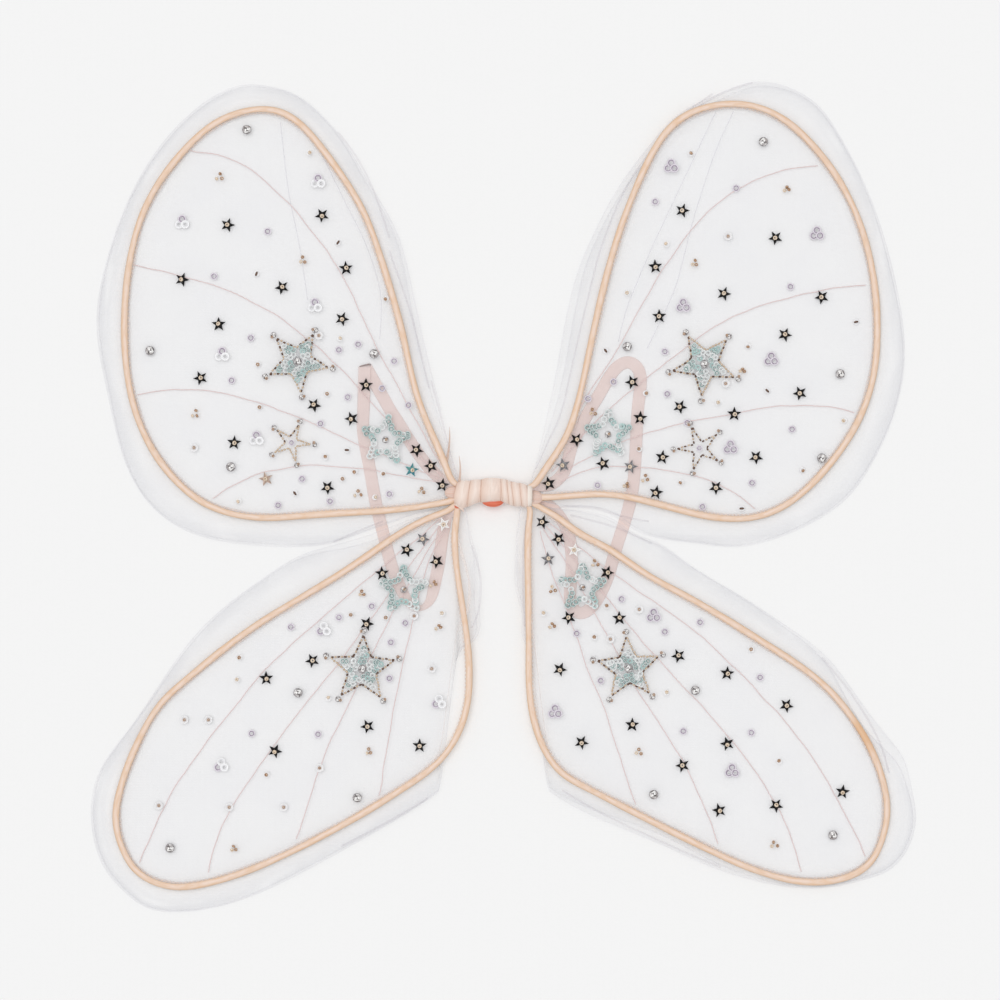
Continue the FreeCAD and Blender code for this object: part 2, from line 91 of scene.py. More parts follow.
class Recipe:
    """A procedural material while it is being put together."""

    def __init__(self, name: str) -> None:
        """Starts an empty material of this name, with its shader and its output."""
        self.material = bpy.data.materials.new(name)
        self.material.use_nodes = True
        self.tree = self.material.node_tree
        self.tree.nodes.clear()
        self.shader = self.add("ShaderNodeBsdfPrincipled")
        output = self.add("ShaderNodeOutputMaterial")
        self.tree.links.new(self.shader.outputs[0], output.inputs["Surface"])

    def add(self, kind: str, settings: Optional[dict] = None, **inputs: Value) -> bpy.types.Node:
        """Adds one node.

        Args:
            kind: the node's type name.
            settings: its properties, by name.
            **inputs: its sockets by name, with underscores for spaces; i0, i1 and so on go by number.

        Returns:
            The new node.
        """
        node = self.tree.nodes.new(kind)
        for key, value in (settings or {}).items():
            setattr(node, key, value)
        for key, value in inputs.items():
            self.put(node, key, value)
        return node

    def put(self, node: bpy.types.Node, key: str, value: Value) -> None:
        """Sets or links one input of a node.

        Args:
            node: the node.
            key: the input's name or number, as for add.
            value: a number, a colour, a vector or another node's output.
        """
        by_number = key[0] == "i" and key[1:].isdigit()
        socket = node.inputs[int(key[1:])] if by_number else node.inputs[key.replace("_", " ")]
        if isinstance(value, Socket):
            self.tree.links.new(value, socket)
        else:
            socket.default_value = value

    def surface(self, **inputs: Value) -> None:
        """Sets or links the shader's own inputs.

        Args:
            **inputs: as for add.
        """
        for key, value in inputs.items():
            self.put(self.shader, key, value)

    def place(self) -> Socket:
        """Returns the object's own coordinates, in metres."""
        return self.add("ShaderNodeTexCoord").outputs["Object"]

    def strip(self) -> Socket:
        """Returns the surface's own UV coordinates: millimetres along, and a share across."""
        return self.add("ShaderNodeUVMap", {"uv_map": "Strip"}).outputs["UV"]

    def across(self, axis: int = 1) -> Socket:
        """Returns one of the two UV coordinates, 0 for along and 1 for across."""
        return self.add("ShaderNodeSeparateXYZ", i0=self.strip()).outputs[axis]

    def noise(self, size_mm: float, detail: float = 3.0, where: Optional[Value] = None) -> Socket:
        """Returns mottling whose patches are about size_mm across, from 0 to 1."""
        vector = self.place() if where is None else where
        scale = 1 / (size_mm * MM) if where is None else 1 / size_mm
        return self.add("ShaderNodeTexNoise", Vector=vector, Scale=scale, Detail=detail).outputs["Fac"]

    def threads(self, pitch_mm: float, direction: str, where: Optional[Value] = None) -> Socket:
        """Returns parallel threads, pitch_mm apart, as a wave from 0 to 1.

        The wave texture repeats every 1/20 of a unit at a scale of one, so the scale is worked from that.
        """
        vector = self.place() if where is None else where
        unit = MM if where is None else 1.0
        scale = FULL_TURN / (20 * pitch_mm * unit)
        settings = {"bands_direction": direction, "wave_profile": "SIN"}
        return self.add("ShaderNodeTexWave", settings, Vector=vector, Scale=scale).outputs["Fac"]

    def math(self, operation: str, first: Value, second: Value = 0.0) -> Socket:
        """Returns a sum, product or other arithmetic of two values."""
        return self.add("ShaderNodeMath", {"operation": operation}, i0=first, i1=second).outputs[0]

    def mix(self, amount: Value, first: Value, second: Value) -> Socket:
        """Returns a colour between two others."""
        node = self.add("ShaderNodeMix", {"data_type": "RGBA"})
        self.put(node, "i0", amount)
        self.put(node, "i6", first)
        self.put(node, "i7", second)
        return node.outputs[2]

    def ramp(self, factor: Socket, stops: Sequence[tuple[float, str]]) -> Socket:
        """Returns the colour at factor on a scale of colours, given as (place, hex) stops."""
        node = self.add("ShaderNodeValToRGB", Fac=factor)
        elements = node.color_ramp.elements
        for element, (place, code) in zip(elements, (stops[0], stops[-1])):
            element.position = place
            element.color = linear(code)
        for place, code in stops[1:-1]:
            elements.new(place).color = linear(code)
        return node.outputs["Color"]

    def range(self, value: Value, low: float, high: float, to_low: float, to_high: float) -> Socket:
        """Returns value moved from one range into another, clamped."""
        node = self.add("ShaderNodeMapRange", i0=value, i1=low, i2=high, i3=to_low, i4=to_high)
        return node.outputs[0]

    def bump(self, height: Value, depth_mm: float, strength: float = 1.0) -> None:
        """Adds a relief of depth_mm to the surface, on top of any that it has."""
        node = self.add("ShaderNodeBump", Height=height, Distance=depth_mm * MM, Strength=strength)
        before = self.shader.inputs["Normal"].links
        if before:
            self.tree.links.new(before[0].from_socket, node.inputs["Normal"])
        self.tree.links.new(node.outputs[0], self.shader.inputs["Normal"])


@dataclass(frozen=True)
class Satin:
    """A satin cloth: its tones across a strip, which paint shade and highlight, its sheen and the size of its
    threads.
    """

    name: str
    # the tones across the strip paint shade and highlight
    tones: tuple  # (place across, hex) stops
    streak: str
    roughness: float = 0.42
    sheen: float = 0.35
    thread_mm: float = 0.22
    warm_spot_mm: Optional[tuple] = None  # where the cloth is stained deeper, if anywhere

    def make(self) -> bpy.types.Material:
        """Builds the material: tones across the strip that paint shade and highlight, long soft streaks and
        fine floats of thread.

        Returns:
            The material.
        """
        recipe = Recipe(self.name)
        uv = recipe.strip()
        # painted shade and highlight across the round tube, the ribbon's turns and the gathered folds
        base = recipe.ramp(recipe.across(), self.tones)
        stretched = recipe.add("ShaderNodeMapping", Vector=uv, Scale=(0.14, 9.0, 1.0)).outputs[0]
        streaks = recipe.noise(1.0, 4.0, stretched)
        base = recipe.mix(recipe.range(streaks, 0.45, 0.66, 0.0, 0.6), base, linear(self.streak))
        if self.warm_spot_mm:
            spot = tuple(c * MM for c in self.warm_spot_mm)
            operation = {"operation": "DISTANCE"}
            distance = recipe.add("ShaderNodeVectorMath", operation, i0=recipe.place(), i1=spot)
            near = recipe.range(distance.outputs["Value"], 0.004, 0.017, 0.75, 0.0)
            base = recipe.mix(near, base, linear("E0B183"))
        smooth, rough = self.roughness - 0.07, self.roughness + 0.09
        recipe.surface(Base_Color=base, Specular_IOR_Level=0.45)
        recipe.surface(Sheen_Weight=self.sheen, Sheen_Roughness=0.35, Anisotropic=0.4)
        recipe.surface(Roughness=recipe.range(streaks, 0.3, 0.7, smooth, rough))
        recipe.bump(recipe.threads(self.thread_mm, "DIAGONAL"), 0.02, 0.5)
        recipe.bump(streaks, 0.12, 0.5)
        return recipe.material


@dataclass(frozen=True)
class Sheer:
    """A sheer plain weave: how much of it is thread, and its tint."""

    name: str
    cover: float
    tint: str
    shade: str
    rim: str
    thread_mm: float = 0.3

    def make(self) -> bpy.types.Material:
        """Builds the material: crossed fine threads, denser towards the cut edge, mostly see-through.

        The UV's second value is the distance from the cut edge in millimetres. Pale streaks run
        along the edge as painted highlights on the flange's ripples, and a soft mottling covers the middle.

        Returns:
            The material.
        """
        recipe = Recipe(self.name)
        warp = recipe.threads(self.thread_mm, "X")
        weft = recipe.threads(self.thread_mm * 1.15, "Y")
        weave = recipe.math("MULTIPLY", warp, weft)
        mottle = recipe.noise(28.0, 3.0)
        middle = recipe.mix(recipe.range(mottle, 0.35, 0.65, 0.0, 1.0), linear(self.tint), linear(self.shade))
        inward = recipe.across()
        base = recipe.mix(recipe.range(inward, 0.5, 9.0, 1.0, 0.0), middle, linear(self.rim))
        # pale streaks along the edge: painted highlights on the flange's ripples
        stretched = recipe.add("ShaderNodeMapping", Vector=recipe.strip(), Scale=(0.03, 0.33, 1.0)).outputs[0]
        creases = recipe.range(recipe.noise(1.0, 3.0, stretched), 0.5, 0.68, 0.0, 0.85)
        creases = recipe.math("MULTIPLY", creases, recipe.range(inward, 9.0, 24.0, 1.0, 0.0))
        base = recipe.mix(creases, base, linear("FBFBFE"))
        base = recipe.mix(recipe.range(weave, 0.0, 1.0, 0.0, 0.16), base, linear("FFFFFF"))
        recipe.surface(Base_Color=base, Roughness=0.45, Specular_IOR_Level=0.4)
        recipe.surface(Sheen_Weight=0.5, Sheen_Roughness=0.3, Sheen_Tint=linear("E9E6F6"), Alpha=self.cover)
        recipe.bump(weave, 0.03, 0.4)
        return recipe.material


@dataclass(frozen=True)
class Film:
    """A sequin's film: a clear tinted body with a deeper rim, pale patches of painted glint and a pearly
    coat.
    """

    name: str
    body: str
    rim: str
    glint: str
    cover: float = 1.0
    roughness: float = 0.22

    def make(self) -> bpy.types.Material:
        """Builds the material: the turned-up rim is deeper, and pale patches of painted glint drift over the
        film like a pearly lustre.

        Returns:
            The material.
        """
        recipe = Recipe(self.name)
        tones = ((0.0, self.body), (0.13, self.body), (0.27, self.rim), (0.5, self.rim), (0.62, self.body))
        base = recipe.ramp(recipe.across(), tones)
        # pale patches of the glint colour: painted glints standing for the pearly lustre
        pearl = recipe.noise(2.2, 2.0)
        base = recipe.mix(recipe.range(pearl, 0.45, 0.7, 0.0, 0.3), base, linear(self.glint))
        recipe.surface(Base_Color=base, Roughness=self.roughness, Coat_Weight=0.5, Coat_Roughness=0.12)
        recipe.surface(Alpha=self.cover)
        recipe.bump(recipe.noise(0.7, 2.0), 0.03, 0.4)
        return recipe.material


@dataclass(frozen=True)
class Foil:
    """A foiled, glazed or metal surface with faint scratches and a lighter tone in patches: wear, and on the
    champagne beads and the crystal glints a painted highlight.
    """

    name: str
    colour: str
    worn_and_glint: str
    roughness: float
    metallic: float = 0.0
    coat: float = 0.6
    patch_mm: float = 0.8
    specular: float = 0.5

    def make(self) -> bpy.types.Material:
        """Builds the material: small lighter patches of wear and painted highlight, fine relief and a clear
        coat.

        Returns:
            The material.
        """
        recipe = Recipe(self.name)
        patches = recipe.noise(self.patch_mm, 4.0)
        base = recipe.mix(recipe.range(patches, 0.45, 0.72, 0.0, 0.6), linear(self.colour), linear(self.worn_and_glint))
        recipe.surface(Base_Color=base, Metallic=self.metallic, Coat_Weight=self.coat, Coat_Roughness=0.15)
        recipe.surface(Specular_IOR_Level=self.specular)
        recipe.surface(Roughness=recipe.range(patches, 0.3, 0.7, self.roughness - 0.06, self.roughness + 0.1))
        recipe.bump(patches, 0.03, 0.35)
        return recipe.material


@dataclass(frozen=True)
class Yarn:
    """A thread, tape or elastic: a matt textile with ribs of its own pitch."""

    name: str
    colour: str
    shade: str
    ribs: float  # ribs across the strip
    cross_mm: float  # distance between the cross threads along it
    cover: float = 1.0
    sheen: float = 0.25

    def make(self) -> bpy.types.Material:
        """Builds the material: ribs along the strip, cross threads over them and a soft mottling.

        Returns:
            The material.
        """
        recipe = Recipe(self.name)
        uv = recipe.strip()
        ribs = recipe.math("PINGPONG", recipe.math("MULTIPLY", recipe.across(), 2 * self.ribs), 1.0)
        cross = recipe.math("PINGPONG", recipe.math("MULTIPLY", recipe.across(0), 2 / self.cross_mm), 1.0)
        weave = recipe.math("ADD", recipe.math("MULTIPLY", ribs, 0.6), recipe.math("MULTIPLY", cross, 0.4))
        mottle = recipe.noise(6.0, 3.0, uv)
        depth = recipe.math("MULTIPLY", recipe.math("ADD", weave, mottle), 0.5)
        base = recipe.mix(recipe.range(depth, 0.2, 0.8, 0.0, 1.0), linear(self.shade), linear(self.colour))
        recipe.surface(Base_Color=base, Roughness=0.75, Sheen_Weight=self.sheen, Sheen_Roughness=0.5)
        recipe.surface(Specular_IOR_Level=0.3, Alpha=self.cover)
        recipe.bump(weave, 0.08, 0.6)
        return recipe.material


# tones round the tube from its outer side over the top: painted shade on the sides and underneath, a painted
# highlight on top
CASING_SHADED_TONES = (
    (0.0, "D2AE8E"), (0.08, "DEBFA2"), (0.17, "EACEB8"), (0.27, "EFD7C8"), (0.37, "ECD0BA"), (0.47, "E6C8AD"),
    (1.0, "D6B390"),
)
# across each turn of ribbon: painted shade at the edges where one turn meets the next, lightest in the puffed
# middle
RIBBON_SHADED_TONES = ((0.0, "C4957C"), (0.06, "E8CCBC"), (0.5, "F7E7DD"), (0.94, "EFD7CA"), (1.0, "CFA38B"))
# round each fold of the gathered ends: painted shade in bands between the folds
GATHER_SHADED_TONES = ((0.0, "D9A88E"), (0.25, "EDD6CC"), (0.5, "E6C4B4"), (0.75, "EFDCD3"), (1.0, "D9A88E"))

FINISHES = {
    # the bias tubes: peach polyester satin, darker at the outer edge from its denser cloth and from painted
    # shade, with painted shade on the sides and underneath and a painted highlight on top, stained on the
    # lower right wing
    "casing": Satin("PeachSatinBias", CASING_SHADED_TONES, "E6BE98", 0.4, warm_spot_mm=(229, -151, 3)),
    "allowance": Yarn("PeachSatinSeamAllowance", "F7EBE6", "F1E1DA", 3, 0.5, cover=0.4),
    "organza_front": Sheer("OrganzaFrontLayer", 0.085, "EDEDF0", "E6E6EC", "AEAEBC"),
    "organza_back": Sheer("OrganzaBackLayer", 0.085, "EBEBEF", "E4E4EB", "AEAEBC"),
    # where the layers are cut, overlap or fold, the threads lie closer
    "hem": Yarn("OrganzaCutEdge", "D2D0D9", "C8C6D1", 1, 0.6, cover=0.07),
    "dart": Yarn("OrganzaDartSeam", "BDBACB", "B1ADC0", 1, 0.6, cover=0.2),
    "fold": Yarn("OrganzaFold", "B9ADB8", "AB9FB0", 1, 0.6, cover=0.15),
    "fray": Yarn("FrayedOrganzaPoint", "D9BCAC", "CBA690", 2, 0.6, cover=0.75),
    "ribbon": Satin("NudeSatinRibbon", RIBBON_SHADED_TONES, "EFD6C8", 0.46),
    "gather": Satin("GatheredSatinEnd", GATHER_SHADED_TONES, "E3C0AF", 0.5),
    # the coral lining: darker at each fold's edges as painted shade, lighter between
    "coral": Satin("CoralSatinLining", ((0.0, "D9603F"), (0.5, "EE8467"), (1.0, "D9603F")), "E9917A", 0.45),
    "binding": Yarn("IvoryCottonBinding", "F8F0E8", "EBDCD0", 9, 0.7),
    "elastic": Yarn("NudeRibbedElastic", "F0DED9", "E7D0C9", 8, 0.9),
    # a dark bar along the elastic's fold crease: painted shade
    "elastic_crease_shade": Yarn("ElasticCreaseShade", "9C7A70", "7F6056", 2, 0.9),
    "thread": Yarn("PinkEmbroideryThread", "EBD5D3", "DFC3C1", 2, 0.5, sheen=0.5),
    "seam_thread": Yarn("PeachSewingThread", "EDD6C8", "E0C3AF", 2, 0.5, sheen=0.4),
    "black_star": Foil("BlackFoilStar", "060607", "1B1B1F", 0.4, coat=0.0, specular=0.18),
    "silver_star": Foil("SilverFoilStar", "6B6A6E", "B9B7B8", 0.28, 0.3, coat=0.2),
    "bronze_star": Foil("BronzeFoilStar", "B39A8B", "D8C6B8", 0.3, 0.2, coat=0.2),
    "teal_star": Foil("TealFoilStar", "2F7F8D", "8FB8A0", 0.26, 0.2, coat=0.2, patch_mm=2.4),
    "white_star": Film("WhitePearlStar", "F9F8F6", "E4E2E2", "FFFFFF"),
    "lilac": Film("LilacClearSequin", "E6DFE8", "7F6C84", "F0EAF4", cover=0.88),
    "pearl": Film("WhitePearlSequin", "FDFDFE", "E6E6EA", "FFFFFF", cover=0.9),
    "aqua": Film("AquaIridescentSequin", "DDEBE9", "5A7F7D", "F0F7F6", cover=0.85),
    "aqua_pale": Film("PaleAquaFilmSequin", "CBE3E1", "A9CCC9", "E6F2F0", cover=0.8),
    "ice": Film("IceWhiteSequin", "FEFEFE", "C9D3D3", "FFFFFF", cover=0.9),
    # the champagne bead's near-white patches are painted highlights
    "champagne": Foil("ChampagneSeedBead", "E3CDB3", "FBF4E6", 0.25, 0.1),
    "gold": Foil("GoldLinedSeedBead", "B08868", "EBD5B8", 0.24, 0.3),
    "bronze": Foil("BronzeBugleBead", "5A3C2A", "94705A", 0.25, 0.3, coat=0.3),
    "clear_gold": Foil("ClearGoldBugleBead", "C9AE90", "F3EADC", 0.2, 0.1, patch_mm=0.6),
    # the cut stones' facets are painted by turns: a painted glint where one catches the light, the plain
    # smoked stone where one reflects the cloth, painted shade where one looks through to the dark back
    "crystal": Foil("SmokedCutCrystal", "BDB8B8", "E9E6E5", 0.1, 0.2, patch_mm=1.6),
    "crystal_bright": Foil("CutCrystalGlint", "F4F3F1", "FFFFFF", 0.08, patch_mm=1.6),
    "crystal_shade": Foil("CutCrystalPaintedShade", "56504F", "8A8280", 0.12, coat=0.2, patch_mm=1.6),
    "setting": Foil("SilverCrystalSetting", "8C8789", "CFCBCB", 0.3, 0.6, coat=0.2),
    "wire": Foil("DrawnSteelWire", "85868A", "A9AAAD", 0.35, 1.0, coat=0.0),
    "floor": Yarn("MattPaperFloor", "F8F8F8", "F7F7F7", 1, 4.0, sheen=0.0),
}


class Palette:
    """Makes each finish once, when it is first asked for."""

    def __init__(self) -> None:
        """Starts with no finish made."""
        self.made: dict[str, bpy.types.Material] = {}

    def __getitem__(self, key: str) -> bpy.types.Material:
        """Returns the material with this short name."""
        if key not in self.made:
            self.made[key] = FINISHES[key].make()
        return self.made[key]


palette = Palette()


# ---- Surfaces ----


@dataclass
class Patch:
    """A batch of surface whose faces all have the same number of corners."""

    points: np.ndarray  # (n, 3), millimetres
    faces: np.ndarray  # (f, corners)
    uv: np.ndarray  # (f, corners, 2)
    finish: str
    smooth: bool = True

    def copies(self, turns: np.ndarray, places: np.ndarray) -> "Patch":
        """Repeats the patch.

        Args:
            turns: one 3 by 3 matrix per copy.
            places: one offset per copy.

        Returns:
            One patch that holds every copy.
        """
        points = np.einsum("kij,nj->kni", turns, self.points) + places[:, None, :]
        offsets = np.arange(len(places)) * len(self.points)
        faces = (self.faces[None] + offsets[:, None, None]).reshape(-1, self.faces.shape[1])
        uv = np.tile(self.uv, (len(places), 1, 1))
        return Patch(points.reshape(-1, 3), faces, uv, self.finish, self.smooth)


def strip_uv(along: np.ndarray, across: Sequence[float]) -> np.ndarray:
    """Returns the UV of a grid whose rows follow a strip and whose columns cross it."""
    return np.stack(np.meshgrid(along, across, indexing="ij"), axis=2)


def wound_uv(girth: float, sides: int, across: Sequence[float]) -> np.ndarray:
    """Returns the UV of a grid whose rows go once round, girth millimetres long."""
    return np.stack(np.meshgrid(np.linspace(0, girth, sides + 1), across), axis=2)


def grid(
    points: np.ndarray, uv: np.ndarray, finish: str, round_along: bool = False, round_across: bool = False
) -> Patch:
    """Covers an array of points with four-sided faces.

    Args:
        points: (n, m, 3), millimetres.
        uv: (n, m, 2), with one more row or column where the surface closes on itself.
        finish: the finish's short name.
        round_along: whether the last row joins the first.
        round_across: whether the last column joins the first.

    Returns:
        The surface.
    """
    rows, columns = points.shape[:2]
    i, j = np.meshgrid(
        np.arange(rows - (not round_along)), np.arange(columns - (not round_across)), indexing="ij"
    )
    i, j = i.ravel(), j.ravel()
    corners = ((i, j), (i + 1, j), (i + 1, j + 1), (i, j + 1))
    faces = np.stack([(a % rows) * columns + b % columns for a, b in corners], axis=1)
    face_uv = np.stack([uv[a, b] for a, b in corners], axis=1)
    return Patch(points.reshape(-1, 3), faces, face_uv, finish)


def fan(rim: np.ndarray, middle: np.ndarray, finish: str) -> Patch:
    """Closes a ring of points with triangles round a middle point.

    Args:
        rim: (n, 3).
        middle: the middle point.
        finish: the finish's short name.

    Returns:
        The surface.
    """
    count = len(rim)
    ring = np.arange(count)
    faces = np.stack([ring, (ring + 1) % count, np.full(count, count)], axis=1)
    return Patch(np.vstack([rim, middle]), faces, np.full((count, 3, 2), 0.5), finish)


def make_object(name: str, patches: Sequence[Patch]) -> bpy.types.Object:
    """Joins patches into one mesh object at the origin, in metres.

    Args:
        name: the piece's name.
        patches: what it is made of.

    Returns:
        The object, linked to the scene.
    """
    mesh = bpy.data.meshes.new(name)
    finishes = list(dict.fromkeys(patch.finish for patch in patches))
    for finish in finishes:
        mesh.materials.append(palette[finish])
    offsets = np.cumsum([0] + [len(patch.points) for patch in patches])
    points = np.concatenate([patch.points for patch in patches]) * MM
    corners = np.concatenate([(patch.faces + start).ravel() for patch, start in zip(patches, offsets)])
    sizes = np.concatenate([np.full(len(patch.faces), patch.faces.shape[1]) for patch in patches])
    uv = np.concatenate([patch.uv.reshape(-1, 2) for patch in patches])
    slots = np.concatenate([np.full(len(p.faces), finishes.index(p.finish)) for p in patches])
    smooth = np.concatenate([np.full(len(patch.faces), patch.smooth) for patch in patches])
    mesh.vertices.add(len(points))
    mesh.vertices.foreach_set("co", points.ravel())
    mesh.loops.add(len(corners))
    mesh.loops.foreach_set("vertex_index", corners)
    mesh.polygons.add(len(sizes))
    mesh.polygons.foreach_set("loop_start", np.concatenate([[0], np.cumsum(sizes)[:-1]]))
    mesh.polygons.foreach_set("material_index", slots)
    mesh.polygons.foreach_set("use_smooth", smooth)
    mesh.uv_layers.new(name="Strip").data.foreach_set("uv", uv.ravel())
    mesh.update(calc_edges=True)
    mesh.validate()
    made = bpy.data.objects.new(name, mesh)
    bpy.context.scene.collection.objects.link(made)
    return made


def smoothstep(value: np.ndarray) -> np.ndarray:
    """Eases from 0 to 1: three times the square less twice the cube of the clamped value."""
    t = np.clip(value, 0.0, 1.0)
    return t * t * (3 - 2 * t)


def resample(line: np.ndarray, step: float, closed: bool = False) -> np.ndarray:
    """Spaces points evenly along a line.

    Args:
        line: (n, d) points.
        step: about how far apart the new points are.
        closed: whether the line returns to its first point.

    Returns:
        The new points; a closed line's first point isn't repeated.
    """
    whole = np.vstack([line, line[:1]]) if closed else line
    lengths = np.concatenate([[0], np.cumsum(np.linalg.norm(np.diff(whole, axis=0), axis=1))])
    count = max(2, int(round(lengths[-1] / step)))
    at = np.linspace(0, lengths[-1], count + 1)
    even = np.stack([np.interp(at, lengths, whole[:, d]) for d in range(line.shape[1])], axis=1)
    return even[:-1] if closed else even


def soften(line: np.ndarray, rounds: int = 2) -> np.ndarray:
    """Evens out a line: each inner point moves to a quarter of each neighbour plus half of itself."""
    for _ in range(rounds):
        line = np.vstack([line[:1], 0.25 * line[:-2] + 0.5 * line[1:-1] + 0.25 * line[2:], line[-1:]])
    return line


def normals(line: np.ndarray) -> np.ndarray:
    """Returns the unit normal to the left of a plane line at each of its points."""
    along = np.gradient(line, axis=0)
    along /= np.linalg.norm(along, axis=1, keepdims=True)
    return np.stack([-along[:, 1], along[:, 0]], axis=1)


def travelled(line: np.ndarray) -> np.ndarray:
    """Returns the distance along a line at each of its points."""
    return np.concatenate([[0], np.cumsum(np.linalg.norm(np.diff(line, axis=0), axis=1))])


def turn_about_z(angles: np.ndarray) -> np.ndarray:
    """Returns rotation matrices about the upright axis, for angles in radians."""
    c, s, zero, one = np.cos(angles), np.sin(angles), np.zeros(len(angles)), np.ones(len(angles))
    return np.stack([c, -s, zero, s, c, zero, zero, zero, one], axis=1).reshape(-1, 3, 3)


def lean(tilts: np.ndarray, towards: np.ndarray) -> np.ndarray:
    """Returns rotation matrices that lean an upright piece.

    Args:
        tilts: how far each leans, in radians.
        towards: the plan direction in which each leans, in radians.

    Returns:
        (n, 3, 3) matrices.
    """
    about = turn_about_z(towards)
    c, s, zero, one = np.cos(tilts), np.sin(tilts), np.zeros(len(tilts)), np.ones(len(tilts))
    tip = np.stack([c, zero, s, zero, one, zero, -s, zero, c], axis=1).reshape(-1, 3, 3)
    return about @ tip @ np.swapaxes(about, 1, 2)


# ---- Reading the design's nodes ----


def welded(node: str) -> tuple[np.ndarray, np.ndarray]:
    """Reads a node's mesh with doubled points joined.

    Args:
        node: the node's name.

    Returns:
        Its points in millimetres and its triangles.
    """
    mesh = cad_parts[node].data
    points = np.zeros(len(mesh.vertices) * 3)
    mesh.vertices.foreach_get("co", points)
    mesh.calc_loop_triangles()
    triangles = np.zeros(len(mesh.loop_triangles) * 3, int)
    mesh.loop_triangles.foreach_get("vertices", triangles)
    micrometres = np.round(points.reshape(-1, 3) * 1e6).astype(int)
    unique, index = np.unique(micrometres, axis=0, return_inverse=True)
    return unique / 1e3, index.ravel()[triangles].reshape(-1, 3)


def separate(points: np.ndarray, triangles: np.ndarray) -> list[np.ndarray]:
    """Splits a mesh into the point sets of its separate solids.

    Every point takes the lowest number among the points that it is joined to, until nothing changes.
    """
    label = np.arange(len(points))
    edges = np.concatenate([triangles[:, [0, 1]], triangles[:, [1, 2]]])
    while True:
        low = np.minimum(label[edges[:, 0]], label[edges[:, 1]])
        after = label.copy()
        np.minimum.at(after, edges[:, 0], low)
        np.minimum.at(after, edges[:, 1], low)
        after = after[after]
        if (after == label).all():
            break
        label = after
    return [points[label == value] for value in np.unique(label)]


def upper_outline(points: np.ndarray, triangles: np.ndarray) -> np.ndarray:
    """Walks round the top face of a flat plate.

    Args:
        points: the plate's points.
        triangles: its triangles.

    Returns:
        The closed outline seen from above, (n, 2).
    """
    a, b, c = (points[triangles[:, k]] for k in range(3))
    facing = np.cross(b - a, c - a)
    facing /= np.linalg.norm(facing, axis=1, keepdims=True) + 1e-12
    top = triangles[facing[:, 2] > 0.9]
    edges = np.concatenate([top[:, [0, 1]], top[:, [1, 2]], top[:, [2, 0]]])
    known = {(int(i), int(j)) for i, j in edges}
    following = {i: j for i, j in known if (j, i) not in known}
    start = min(following)
    loop = [start]
    while following[loop[-1]] != start:
        loop.append(following[loop[-1]])
    return points[loop][:, :2]


def ring_middles(points: np.ndarray, triangles: np.ndarray) -> np.ndarray:
    """Finds the middle line of a bent bar.

    It steps from one end of the bar to the other, from each ring of points to the next, and takes
    the mean of each ring.

    Args:
        points: the bar's points.
        triangles: its triangles.

    Returns:
        The middle line, (n, 3), from the end that lies further up to the other.
    """
    edges = np.concatenate([triangles[:, [0, 1]], triangles[:, [1, 2]], triangles[:, [2, 0]]])
    edges = np.concatenate([edges, edges[:, ::-1]])
    edges = edges[np.argsort(edges[:, 0], kind="stable")]
    first = np.searchsorted(edges[:, 0], np.arange(len(points) + 1))

    def levels(start: np.ndarray) -> list[np.ndarray]:
        """Returns the points one edge away from start, two edges away and so on."""
        seen = np.zeros(len(points), bool)
        seen[start] = True
        rings = [start]
        while True:
            reached = np.concatenate([edges[first[k] : first[k + 1], 1] for k in rings[-1]])
            reached = np.unique(reached[~seen[reached]])
            if not len(reached):
                return rings
            seen[reached] = True
            rings.append(reached)

    one_end = levels(np.array([0]))[-1]
    other_end = levels(one_end)[-1]
    start = sorted((points[one_end].mean(0), points[other_end].mean(0)), key=lambda p: -p[1])[0]
    near = np.where(np.linalg.norm(points - start, axis=1) < 0.75)[0]
    rings = levels(near)
    line = np.array([points[ring].mean(0) for ring in rings if len(ring) > 2])
    return resample(soften(resample(line, 3.0), 3), 1.5)


# ---- Wings ----


class Side(Enum):
    """Which side of the bridge a wing or strap is on."""

    LEFT = -1
    RIGHT = 1


@dataclass(frozen=True)
class SetBack:
    """A stretch of flange where the lower layer's edge lies further in than the upper one's."""

    x: float
    y: float
    reach: float
    inset: float


